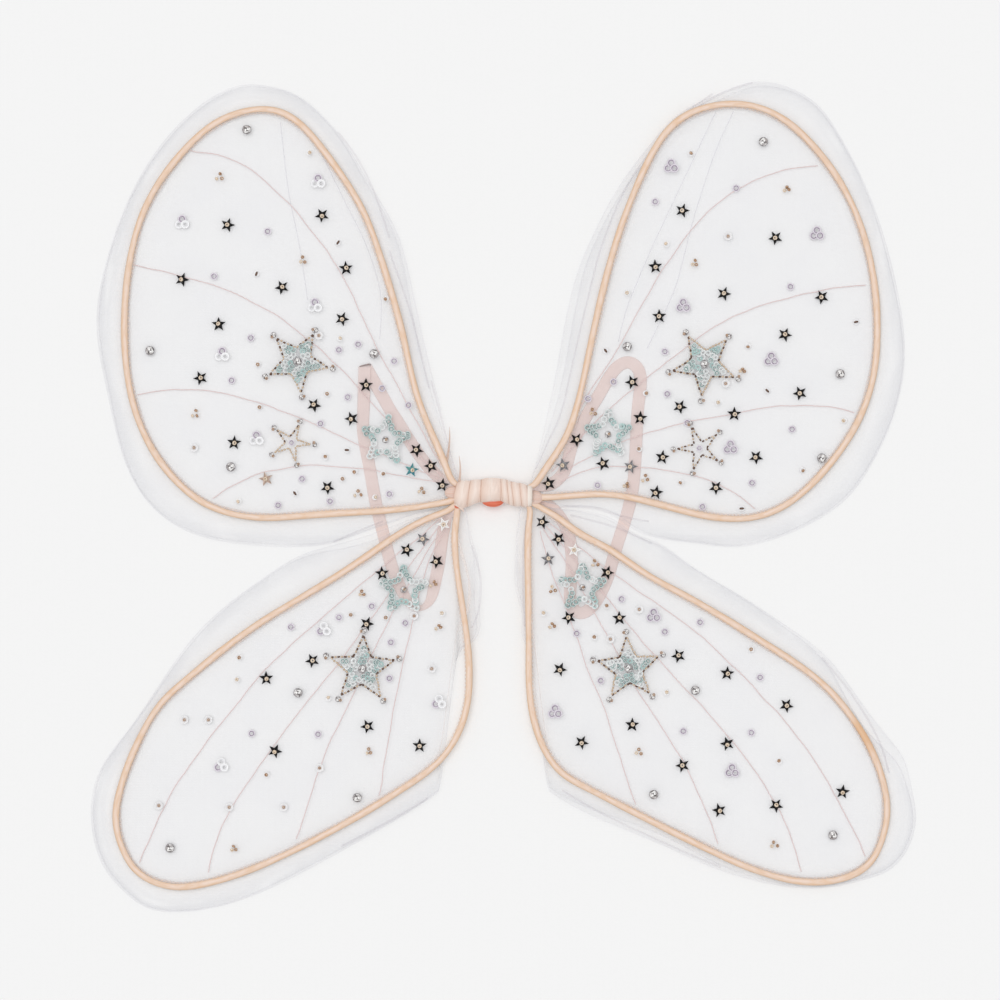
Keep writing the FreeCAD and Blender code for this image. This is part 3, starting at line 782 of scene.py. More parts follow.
@dataclass
class Wing:
    """One wing: its frame of reference, read from the design, and the pieces that dress it."""

    name: str
    side: Side
    set_backs: tuple = ()
    darts: tuple = ()  # faint sewn lines, by the points that they pass through, in millimetres
    folds: tuple = ()  # soft folds in the flange, likewise
    odd_stars: tuple = ()  # (x, y, finish) of star sequins that aren't black
    cluster: tuple = ("lilac", "lilac", "lilac")  # the finishes of a group of three sequins
    hem_mm: float = 1.0
    outline: np.ndarray = field(init=False)
    spine: np.ndarray = field(init=False)
    rise: tuple = field(init=False)

    def __post_init__(self) -> None:
        """Reads the outline, the wire's line and the slope of the cloth from the design."""
        points, triangles = welded(self.node("organza_front"))
        self.outline = resample(upper_outline(points, triangles), 2.0, closed=True)
        middle = ring_middles(*welded(self.node("frame_wire")))
        self.spine = middle[:, :2]
        top = points[points[:, 2] > np.interp(points[:, 0], *self.split(points))]
        self.rise = tuple(np.polyfit(top[:, 0], top[:, 2], 1))

    def split(self, points: np.ndarray) -> tuple[np.ndarray, np.ndarray]:
        """Returns the plate's middle height at its two ends, which parts its top from its underside."""
        ends = np.array([points[:, 0].min(), points[:, 0].max()])
        heights = [points[np.abs(points[:, 0] - x) < 0.5][:, 2] for x in ends]
        return ends, np.array([(h.min() + h.max()) / 2 for h in heights])

    def node(self, part: str) -> str:
        """Returns the full name of one of this wing's nodes."""
        return f"{self.name}_{part}"

    @property
    def body(self) -> str:
        """The body that this wing's pieces move with."""
        return f"{self.name}_wing"

    @property
    def root(self) -> np.ndarray:
        """The plan point where the wing meets the bridge."""
        return self.spine[[0, -1]].mean(0)

    def distance(self, plan: np.ndarray) -> tuple[np.ndarray, np.ndarray]:
        """Measures plan points against the casing.

        Args:
            plan: (n, 2) points.

        Returns:
            The distance from the casing's middle line, positive outside the loop, and the distance
            along it of the nearest point.
        """
        line = self.spine
        gaps = np.linalg.norm(plan[:, None, :] - line[None], axis=2)
        nearest = gaps.argmin(1)
        side = normals(line)[nearest]
        offset = plan - line[nearest]
        outward = (offset * side).sum(1) * self.outward
        beside = gaps[np.arange(len(plan)), nearest]
        return np.where(outward > 0, beside, -beside), travelled(line)[nearest]

    @property
    def outward(self) -> float:
        """1 if the line's left normal points out of the loop, and -1 if it points in."""
        x, y = self.spine[:, 0], self.spine[:, 1]
        area = (x * np.roll(y, -1) - y * np.roll(x, -1)).sum() / 2
        return -1.0 if area > 0 else 1.0

    def relief(self, plan: np.ndarray, layer: int = 0) -> np.ndarray:
        """Works out how far the cloth stands above its flat plane.

        Soft pleats fan out from the root and die away over the first part of the wing, small puckers
        sit along the casing, and the free flange lifts in long waves that grow towards its edge.

        Args:
            plan: (n, 2) points.
            layer: 0 for the upper layer of cloth and 1 for the lower one, whose waves differ.

        Returns:
            (n,) heights in millimetres.
        """
        from_root = plan - self.root
        reach = np.linalg.norm(from_root, axis=1)
        bearing = np.arctan2(from_root[:, 1], from_root[:, 0] * self.side.value)
        pleats = 0.28 * np.exp(-reach / 45.0) * (1 + np.sin(13 * bearing + 1.3 * layer))
        out, along = self.distance(plan)
        puckers = 0.10 * np.exp(-np.abs(np.abs(out) - 3.2) / 2.4) * (1 + np.sin(along / 1.15))
        free = smoothstep((out - 3.0) / 14.0)
        away = smoothstep((reach - 20.0) / 50.0)
        waves = 0.5 + 0.28 * np.sin(along / 13.0 + 1.9 * layer) + 0.22 * np.sin(along / 5.1 + layer)
        return pleats * (1 - 0.7 * free) + puckers * away + (1.1 - 0.3 * layer) * waves * free * away

    def gathered(self, points: np.ndarray) -> np.ndarray:
        """Draws the cloth in to the bridge at the root.

        Points within a few millimetres of the root edge move towards the bridge's end, closer
        together and up to the level of its middle.

        Args:
            points: (n, 3).

        Returns:
            The moved points.
        """
        low, high = bridge_ends()
        end = low if self.side is Side.LEFT else high
        inward = -self.side.value
        near = smoothstep(1 - (points[:, 0] - end) * self.side.value / 11.0)
        moved = points.copy()
        moved[:, 0] += inward * 2.6 * near
        moved[:, 1] += (0.2 - points[:, 1]) * 0.45 * near
        moved[:, 2] += (6.0 - points[:, 2]) * 0.75 * near
        return moved

    def place(self, plan: np.ndarray, height: Union[float, np.ndarray], follow: bool = True) -> np.ndarray:
        """Puts plan points on the wing.

        Args:
            plan: (n, 2).
            height: how far above the cloth's upper face each is.
            follow: whether they also follow the cloth's relief.

        Returns:
            (n, 3) points in the design's frame.
        """
        slope, level = self.rise
        z = level + slope * plan[:, 0] + height
        if follow:
            z = z + self.relief(plan)
        return np.column_stack([plan, z])

    def bend(self, piece: bpy.types.Object) -> bpy.types.Object:
        """Bakes a piece's placing into its mesh."""
        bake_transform(piece)
        return piece


def bridge_ends() -> tuple[float, float]:
    """Returns where the bridge's ribbon starts and ends along X, in millimetres."""
    low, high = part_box("bridge_ribbon")
    return low.x / MM, high.x / MM


LEFT_DARTS = (
    ((-134, 232), (-129, 187), (-122, 156), (-117, 121)),
    ((-109, 214), (-96, 187), (-80, 156), (-70, 124), (-72, 97)),
)
RIGHT_DARTS = (
    ((149, 239), (138, 216), (124, 173), (113, 128), (95, 91)),
    ((138, 239), (120, 201), (97, 152), (81, 114), (77, 95)),
)
LEFT_FOLDS = (
    ((-40, 71), (-35, 53), (-30, 37), (-25, 18)),
    ((-66, 152), (-52, 112), (-46, 86), (-41, 66)),
    ((-98, 226), (-84, 208), (-74, 186), (-66, 160)),
)
RIGHT_FOLDS = (
    ((161, 257), (144, 252), (135, 247), (121, 239), (104, 223), (92, 208), (80, 189), (71, 168), (64, 147)),
    ((64, 147), (54, 106), (46, 71), (43, 55), (37, 39), (27, 22)),
    ((136, 250), (124, 242), (112, 233)),
    ((40, -8), (64, -7), (76, -14), (96, -17)),
)
LOWER_LEFT_FOLDS = (
    ((-101, -30), (-94, -27), (-86, -23), (-70, -17)),
    ((-17, -58), (-11, -96), (-12, -132), (-17, -152)),
    ((-96, -220), (-62, -202), (-42, -190)),
)
LOWER_RIGHT_FOLDS = (
    ((204, -102), (216, -116), (226, -129), (236, -146), (242, -157), (246, -174)),
    ((42, -185), (60, -196), (82, -207), (104, -217), (126, -227), (141, -233)),
    ((47, -13), (78, -21), (98, -31)),
    ((22, -30), (20, -70), (20, -110), (21, -150)),
)


def wings() -> list[Wing]:
    """Reads the four wings from the design."""
    return [
        Wing(
            "upper_left", Side.LEFT, (SetBack(-45, 90, 60, 3),), LEFT_DARTS, LEFT_FOLDS,
            ((-143, 9.5, "bronze_star"), (-52, 15, "teal_star")), ("pearl", "lilac", "pearl"),
        ),
        Wing(
            "upper_right", Side.RIGHT, (SetBack(105, 225, 60, 4), SetBack(50, 80, 70, 4)), RIGHT_DARTS,
            RIGHT_FOLDS, ((42.5, 18, "silver_star"), (84.5, 17, "silver_star")),
        ),
        Wing(
            "lower_left", Side.LEFT, (SetBack(-80, -22, 40, 3), SetBack(-10, -100, 50, 2)), (),
            LOWER_LEFT_FOLDS, ((-45, -28, "silver_star"), (-32.2, -18.8, "white_star")),
            ("lilac", "pearl", "pearl"),
        ),
        Wing(
            "lower_right", Side.RIGHT, (SetBack(240, -140, 40, 7), SetBack(95, -215, 60, 4)), (),
            LOWER_RIGHT_FOLDS, ((33, -40.5, "silver_star"), (49.5, -35, "white_star")),
        ),
    ]


@dataclass
class Panel:
    """The two layers of organza of one wing, with their cut edges and darts."""

    wing: Wing
    spacing: float = 3.2  # between the points that fill a layer
    gap: float = 0.55  # between the layers
    above_floor: float = 0.12  # the lower layer's least height
    layer_step: float = 0.1  # how much higher the upper layer's least height is
    line_lift: float = 0.16  # of a dart, fold or cut edge over its layer
    line_floor: float = 0.28  # the least height of one on the lower layer

    def edge(self, layer: int) -> np.ndarray:
        """Returns a layer's cut edge in plan.

        The lower layer's edge lies inside the upper one's by an inset that drifts round the wing, and
        both come together at the root.

        Args:
            layer: 0 for the upper layer and 1 for the lower one.

        Returns:
            (n, 2) closed outline.
        """
        outline = self.wing.outline
        if layer == 0:
            return outline
        closed = np.vstack([outline[-1:], outline, outline[:1]])
        inward = normals(closed)[1:-1]
        centre = outline.mean(0)
        inward *= np.sign(((centre - outline) * inward).sum(1).mean())
        along = np.arange(len(outline)) * FULL_TURN / len(outline)
        inset = 0.9 + 0.4 * np.sin(5 * along + 0.6)
        for place in self.wing.set_backs:
            inset += place.inset * np.exp(-(((outline - (place.x, place.y)) ** 2).sum(1)) / place.reach**2)
        reach = np.linalg.norm(outline - self.wing.root, axis=1)
        inset = inset * smoothstep((reach - 14.0) / 34.0)
        return soften(outline + inward * inset[:, None], 3)

    def mesh_points(self, outline: np.ndarray) -> np.ndarray:
        """Fills an outline with rows of points in a triangular pattern, clear of its edge."""
        low, high = outline.min(0), outline.max(0)
        rows = np.arange(low[1], high[1], self.spacing * 0.87)
        columns = np.arange(low[0], high[0], self.spacing)
        x, y = np.meshgrid(columns, rows)
        x = x + (np.arange(len(rows)) % 2)[:, None] * self.spacing / 2
        plan = np.column_stack([x.ravel(), y.ravel()])
        after = np.roll(outline, -1, axis=0)
        inside = np.zeros(len(plan), bool)
        for (x0, y0), (x1, y1) in zip(outline, after):
            crosses = (y0 > plan[:, 1]) != (y1 > plan[:, 1])
            if crosses.any():
                where = (x1 - x0) * (plan[:, 1] - y0) / (y1 - y0 + 1e-12) + x0
                inside ^= crosses & (plan[:, 0] < where)
        plan = plan[inside]
        return plan[self.from_edge(plan, outline) > self.spacing * 0.45]

    def from_edge(self, plan: np.ndarray, outline: np.ndarray) -> np.ndarray:
        """Returns how far each plan point is from the nearest point of an outline."""
        gaps = np.full(len(plan), np.inf)
        for block in np.array_split(np.arange(len(outline)), 8):
            near = np.linalg.norm(plan[:, None] - outline[None, block], axis=2).min(1)
            gaps = np.minimum(gaps, near)
        return gaps

    def sheet(self, layer: int) -> bpy.types.Object:
        """Makes one layer of cloth.

        The outline is filled with an even pattern of points, joined into triangles, and lifted by the
        wing's relief.

        Args:
            layer: 0 for the upper layer and 1 for the lower one.

        Returns:
            The sheet.
        """
        wing = self.wing
        outline = self.edge(layer)
        plan = np.vstack([outline, self.mesh_points(outline)])
        border = [(k, (k + 1) % len(outline)) for k in range(len(outline))]
        result = delaunay_2d_cdt([tuple(p) for p in plan], border, [], 1, 1e-5)
        plan = np.array([tuple(p) for p in result[0]])
        faces = np.array([f for f in result[2] if len(f) == 3])
        height = wing.relief(plan, layer) - self.gap * layer
        points = wing.gathered(wing.place(plan, height, follow=False))
        points[:, 2] = np.maximum(points[:, 2], self.above_floor + self.layer_step * (1 - layer))
        along = wing.distance(plan)[1]
        reach = np.linalg.norm(plan - wing.root, axis=1)
        # near the root the rim's tone and the painted crease highlights fade out, so the cloth there counts
        # as further in
        inward = self.from_edge(plan, outline) + 12 * (1 - smoothstep((reach - 20) / 70))
        uv = np.column_stack([along, inward])
        finish = "organza_front" if layer == 0 else "organza_back"
        patch = Patch(points, faces, uv[faces], finish)
        piece = make_object(wing.node(finish + "_cloth"), [patch])
        wing.bend(piece)
        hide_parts(wing.node(finish))
        return piece

    def line_strip(self, line: np.ndarray, width: float, layer: int, finish: str, closed: bool) -> Patch:
        """Lays a narrow strip of cloth along a plan line, just above a layer."""
        if closed:
            line = np.vstack([line, line[:1]])
        side = normals(line)
        half = width / 2
        rows = []
        for share in (-1.0, 0.0, 1.0):
            plan = line + side * half * share
            lift = self.line_lift + 0.05 * (1 - abs(share))
            height = self.wing.relief(plan, layer) - self.gap * layer + lift
            points = self.wing.gathered(self.wing.place(plan, height, follow=False))
            least = self.line_floor + self.layer_step * (1 - layer)
            points[:, 2] = np.maximum(points[:, 2], least)
            rows.append(points)
        return grid(np.stack(rows, axis=1), strip_uv(travelled(line), (0.0, 0.5, 1.0)), finish)

    def hem(self, layer: int) -> bpy.types.Object:
        """Makes the cut edge of one layer, where the threads are fused and the cloth looks denser."""
        outline = self.edge(layer)
        inner = outline + (outline.mean(0) - outline) * (0.5 * self.wing.hem_mm / 150)
        patches = [self.line_strip(inner, self.wing.hem_mm, layer, "hem", True)]
        piece = make_object(self.wing.node(f"cut_edge_{'upper' if layer == 0 else 'lower'}"), patches)
        self.wing.bend(piece)
        return piece

    def drawn_lines(self) -> list[bpy.types.Object]:
        """Makes the darts of the upper wings, and the soft folds in the flanges.

        Returns:
            The darts' piece and the folds' piece, where the wing has them.
        """
        pieces = []
        for name, lines, width, finish in (
            ("darts", self.wing.darts, 0.55, "dart"),
            ("flange_folds", self.wing.folds, 1.2, "fold"),
        ):
            if not lines:
                continue
            patches = []
            for line in lines:
                smooth = resample(soften(resample(np.array(line, float), 6.0), 4), 2.0)
                patches.append(self.line_strip(smooth, width, 0, finish, False))
            piece = make_object(self.wing.node(name), patches)
            self.wing.bend(piece)
            pieces.append(piece)
        return pieces

    def make(self) -> None:
        low = self.wing.outline.min(0)
        high = self.wing.outline.max(0)
        size = (high - low) * MM
        x, y = self.wing.outline[:, 0], self.wing.outline[:, 1]
        area = abs((x * np.roll(y, -1) - y * np.roll(x, -1)).sum() / 2) * MM * MM
        lines = self.drawn_lines()
        for layer in (0, 1):
            cloth = self.sheet(layer)
            edges = [self.hem(layer)] + (lines if layer == 0 else [])
            flat = (float(size[0]), float(size[1]))
            held = [self.wing.node("satin_casing")]


@dataclass
class Casing:
    """The satin tube round one wing's wire, its seam allowance and its row of stitches."""

    wing: Wing
    half_width: float = 2.0
    half_height: float = 1.15
    around: int = 20
    lift: float = 0.1
    stitch_mm: float = 2.6

    def route(self) -> np.ndarray:
        """Returns the tube's middle line in space, from inside the bridge round and back into it.

        The wire's own line is carried on at both ends to meet inside the end of the ribbon.
        """
        wing = self.wing
        low, high = bridge_ends()
        end = low if wing.side is Side.LEFT else high
        inward = -wing.side.value
        line = wing.place(wing.spine, self.lift + self.half_height, follow=False)
        parts = [line]
        for first in (True, False):
            tip = line[0] if first else line[-1]
            inner = np.array([end + inward * 4.0, tip[1] * 0.42 + 0.2, 6.1])
            mid = 0.55 * tip + 0.45 * inner
            mid[0] = 0.4 * tip[0] + 0.6 * (end + inward * 0.6)
            joint = [inner, mid] if first else [mid, inner]
            parts = [np.array(joint)] + parts if first else parts + [np.array(joint)]
        return resample(soften(resample(np.vstack(parts), 1.5), 3), 1.5)

    def tube(self, route: np.ndarray) -> Patch:
        """Wraps satin round the route.

        The section is a flattened round. It swells and narrows slowly by a few hundredths, has a
        small pucker every few millimetres where the seam pulls, and thins inside the bridge.

        Args:
            route: the tube's middle line.

        Returns:
            The surface; its UV runs in millimetres along and from 0 at the outer side, over the top.
        """
        rng = np.random.default_rng(SEED + len(self.wing.name) + len(route))
        along = travelled(route)
        side = normals(route[:, :2]) * self.wing.outward
        phase = rng.uniform(0, FULL_TURN, 4)
        swell = 1 + 0.05 * np.sin(along / 17 + phase[0]) + 0.035 * np.sin(along / 6.3 + phase[1])
        total = along[-1]
        thin = 1 - 0.35 * (1 - smoothstep(np.minimum(along, total - along) / 9.0))
        angle = np.arange(self.around) * FULL_TURN / self.around
        pucker = 0.07 * np.sin(along / 0.9 + 1.4 * np.sin(along / 5 + phase[2]))
        ridge = np.clip(-np.cos(angle), 0, 1) ** 2 * np.clip(np.sin(angle) + 0.3, 0, 1)
        scale = (swell * thin)[:, None] * (1 + pucker[:, None] * ridge[None])
        cos, sin = np.cos(angle), np.sin(angle)
        outward = np.sign(cos) * np.abs(cos) ** 0.85 * self.half_width
        upward = np.sign(sin) * np.abs(sin) ** 0.85 * self.half_height
        points = route[:, None, :].repeat(self.around, 1)
        points[:, :, 0] += side[:, 0:1] * outward[None] * scale
        points[:, :, 1] += side[:, 1:2] * outward[None] * scale
        points[:, :, 2] += upward[None] * scale
        share = np.arange(self.around + 1) / self.around
        return grid(points, strip_uv(along, share), "casing", round_across=True)

    def allowance(self, route: np.ndarray) -> Patch:
        """Lays the tube's seam allowance on the cloth, inside the loop, with a slightly uneven edge."""
        line = route[8:-8]
        along = travelled(line)
        side = -normals(line[:, :2]) * self.wing.outward
        reach = 1.55 + 0.28 * np.sin(along / 7.7) + 0.15 * np.sin(along / 2.9)
        shares, rows = (0.0, 0.35, 0.7, 1.0), []
        for share in shares:
            plan = line[:, :2] + side * (self.half_width * 0.8 + reach * share)[:, None]
            height = 0.16 + 0.5 * (1 - share) ** 2
            rows.append(self.wing.gathered(self.wing.place(plan, height)))
        return grid(np.stack(rows, axis=1), strip_uv(along, shares), "allowance")

    def stitches(self, route: np.ndarray) -> Patch:
        """Sews a row of small stitches along the seam allowance, beside the tube."""
        line = resample(route[14:-14], self.stitch_mm)
        side = -normals(line[:, :2]) * self.wing.outward
        plan = line[:, :2] + side * (self.half_width + 0.45)
        heading = np.gradient(plan, axis=0)
        angles = np.arctan2(heading[:, 1], heading[:, 0])
        places = self.wing.place(plan, 0.34)
        stitch = capsule(1.7, 0.16, 6, "seam_thread")
        return stitch.copies(turn_about_z(angles), places)

    def make(self) -> None:
        """Makes the tube, with the wire inside it, and the allowance with its stitches."""
        wing = self.wing
        route = self.route()
        piece = make_object(wing.node("satin_casing"), [self.tube(route)])
        wing.bend(piece)
        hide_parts(wing.node("wire_casing"))
        trim = make_object(wing.node("seam_allowance"), [self.allowance(route), self.stitches(route)])
        wing.bend(trim)
        core = make_object(wing.node("steel_wire"), [round_bar(route[2:-2], 0.6, 8, "wire")])
        wing.bend(core)
        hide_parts(wing.node("frame_wire"))


def round_bar(route: np.ndarray, radius: float, sides: int, finish: str) -> Patch:
    """Makes a plain round bar along a line that stays nearly level.

    Args:
        route: (n, 3) middle line.
        radius: its radius.
        sides: faces round it.
        finish: the finish's short name.

    Returns:
        The open tube.
    """
    side = normals(route[:, :2])
    angle = np.arange(sides) * FULL_TURN / sides
    points = route[:, None, :].repeat(sides, 1)
    points[:, :, 0] += side[:, 0:1] * np.cos(angle)[None] * radius
    points[:, :, 1] += side[:, 1:2] * np.cos(angle)[None] * radius
    points[:, :, 2] += np.sin(angle)[None] * radius
    uv = strip_uv(travelled(route), np.arange(sides + 1) / sides)
    return grid(points, uv, finish, round_across=True)


# ---- Small trimmings, each built once about its own middle and then copied ----


def lathe(profile: Sequence[tuple[float, float]], sides: int, finish: str, closed: bool = True) -> Patch:
    """Turns a profile round the upright axis.

    Args:
        profile: (radius, height) points.
        sides: faces round it.
        finish: the finish's short name.
        closed: whether the profile returns to its first point.

    Returns:
        The surface; its UV's second value is the share of the way from the axis to the rim.
    """
    angle = np.arange(sides) * FULL_TURN / sides
    radius, height = np.array(profile, float).T
    points = np.stack(
        [
            radius[:, None] * np.cos(angle),
            radius[:, None] * np.sin(angle),
            height[:, None].repeat(sides, 1),
        ],
        axis=2,
    )
    share = (radius - radius.min()) / max(radius.max() - radius.min(), 1e-9)
    rows = len(profile) + closed
    uv = np.zeros((rows, sides + 1, 2))
    uv[:, :, 0] = np.linspace(0, radius.max() * FULL_TURN, sides + 1)
    uv[:, :, 1] = np.concatenate([share, share[:1]])[:rows, None]
    return grid(points, uv, finish, round_along=closed, round_across=True)


def capsule(length: float, radius: float, sides: int, finish: str) -> Patch:
    """Makes a short rounded bar along X, such as a stitch or a bugle bead."""
    places = np.array([0, 0.04, 0.16, 0.5, 0.84, 0.96, 1.0])
    girth = np.array([0.05, 0.55, 0.95, 1.0, 0.95, 0.55, 0.05]) * radius
    angle = np.arange(sides) * FULL_TURN / sides
    points = np.stack(
        [
            ((places - 0.5) * length)[:, None].repeat(sides, 1),
            girth[:, None] * np.cos(angle),
            girth[:, None] * np.sin(angle),
        ],
        axis=2,
    )
    share = np.arange(sides + 1) / sides
    return grid(points, strip_uv(places * length, share), finish, round_across=True)


def ray(angle: float) -> np.ndarray:
    """Returns the plan direction of an angle, with a length of one."""
    return np.array([math.cos(angle), math.sin(angle)])


def bead(radius: float, height: float, finish: str, sides: int = 12) -> Patch:
    """Makes a seed bead: a fat ring with a small hole, standing on the cloth."""
    hole = radius * 0.34
    belly = [(0.0, 0.5), (0.12, 0.88), (0.42, 1.0), (0.75, 0.9), (1.0, 0.5)]
    belly += [(0.75, 0.1), (0.42, 0.0), (0.12, 0.12)]
    profile = [(hole + share * (radius - hole), level * height) for share, level in belly]
    return lathe(profile, sides, finish)


def ring_sequin(radius: float, finish: str, cup: float = 0.12, sides: int = 20, hole: float = 0.38) -> Patch:
    """Makes a round sequin: a thin disc with a hole and a slightly turned-up rim."""
    hole = radius * hole
    shape = [(0.0, 0.0), (0.3, 0.05), (0.75, 0.35), (1.0, 1.0)]
    upper = [(hole + share * (radius - hole), cup * level + 0.14) for share, level in shape]
    lower = [(r, h - 0.12) for r, h in reversed(upper)]
    return lathe(upper + lower, sides, finish)


def star_sequin(tip: float, notch: float, finish: str) -> list[Patch]:
    """Makes a pressed star sequin with a ridge along each arm.

    From a small centre hole the top rises along the ridges and falls to the notches; a thin edge
    runs all round.

    Args:
        tip: the distance to each tip.
        notch: the distance to each notch.
        finish: the finish's short name.

    Returns:
        The star's surfaces, one tip along X.
    """
    count = 2 * STAR_POINTS
    angle = np.arange(count) * math.pi / STAR_POINTS
    at_tip = np.arange(count) % 2 == 0
    # share of the reach, height on a ridge, height in a valley; the least share is the centre hole
    steps = ((0.12, 0.3, 0.3), (0.5, 0.62, 0.24), (1.0, 0.22, 0.16), (1.0, 0.0, 0.0), (0.12, 0.0, 0.0))
    hole = 0.5
    rings = []
    for share, ridge, valley in steps:
        radius = np.where(at_tip, tip * share, notch * share) if share > 0.2 else np.full(count, hole)
        height = np.where(at_tip, ridge, valley)
        rings.append(np.column_stack([radius * np.cos(angle), radius * np.sin(angle), height]))
    points = np.array(rings)
    uv = wound_uv(10, count, (0.1, 0.5, 0.7, 0.9, 0.3, 0.1))
    star = grid(points, uv, finish, round_along=True, round_across=True)
    star.smooth = False
    return [star]


def faceted(patch: Patch, finishes: Sequence[str]) -> list[Patch]:
    """Splits a patch into flat facets whose finishes come by turns."""
    turn = (np.arange(len(patch.faces)) * 7 // 2) % len(finishes)
    parts = []
    for number, finish in enumerate(finishes):
        faces = patch.faces[turn == number]
        used, index = np.unique(faces, return_inverse=True)
        uv = patch.uv[turn == number]
        parts.append(Patch(patch.points[used], index.reshape(faces.shape), uv, finish, False))
    return parts


def set_crystal(radius: float) -> list[Patch]:
    """Makes a cut stone in a low claw setting: a table, crown facets, a girdle and four claws."""
    sides = 8
    angle = np.arange(sides) * FULL_TURN / sides
    cut = ((0.42, 0.75, 0.0), (0.74, 0.56, 0.5), (0.95, 0.3, 0.0), (0.8, 0.12, 0.0))  # radius, height, twist
    rings = []
    for share, up, twist in cut:
        at = angle + twist * FULL_TURN / sides
        rings.append(np.column_stack([np.cos(at) * share, np.sin(at) * share, np.full(sides, up)]) * radius)
    points = np.array(rings)
    # facets by turns: painted glints, painted shade and the plain stone
    glint_and_shade_facets = ("crystal_bright", "crystal_shade", "crystal", "crystal_bright", "crystal")
    stone = faceted(grid(points, np.full((4, sides + 1, 2), 0.5), "crystal", round_across=True), glint_and_shade_facets)
    crown = fan(points[0], np.array([0, 0, radius * 0.8]), "crystal")
    table = faceted(crown, ("crystal_bright", "crystal_shade"))
    wall = [(0.7, 0.0), (1.0, 0.06), (1.02, 0.4), (0.93, 0.42)]
    cup = lathe([(share * radius, up * radius) for share, up in wall], 16, "setting")
    claws = np.arange(4) * FULL_TURN / 4 + 0.4
    turns = lean(np.full(4, -0.9), claws) @ turn_about_z(claws)
    places = np.column_stack([np.cos(claws) * 0.88, np.sin(claws) * 0.88, np.full(4, 0.42)]) * radius
    claw = capsule(radius * 0.5, radius * 0.12, 6, "setting")
    return stone + table + [cup, claw.copies(turns, places)]


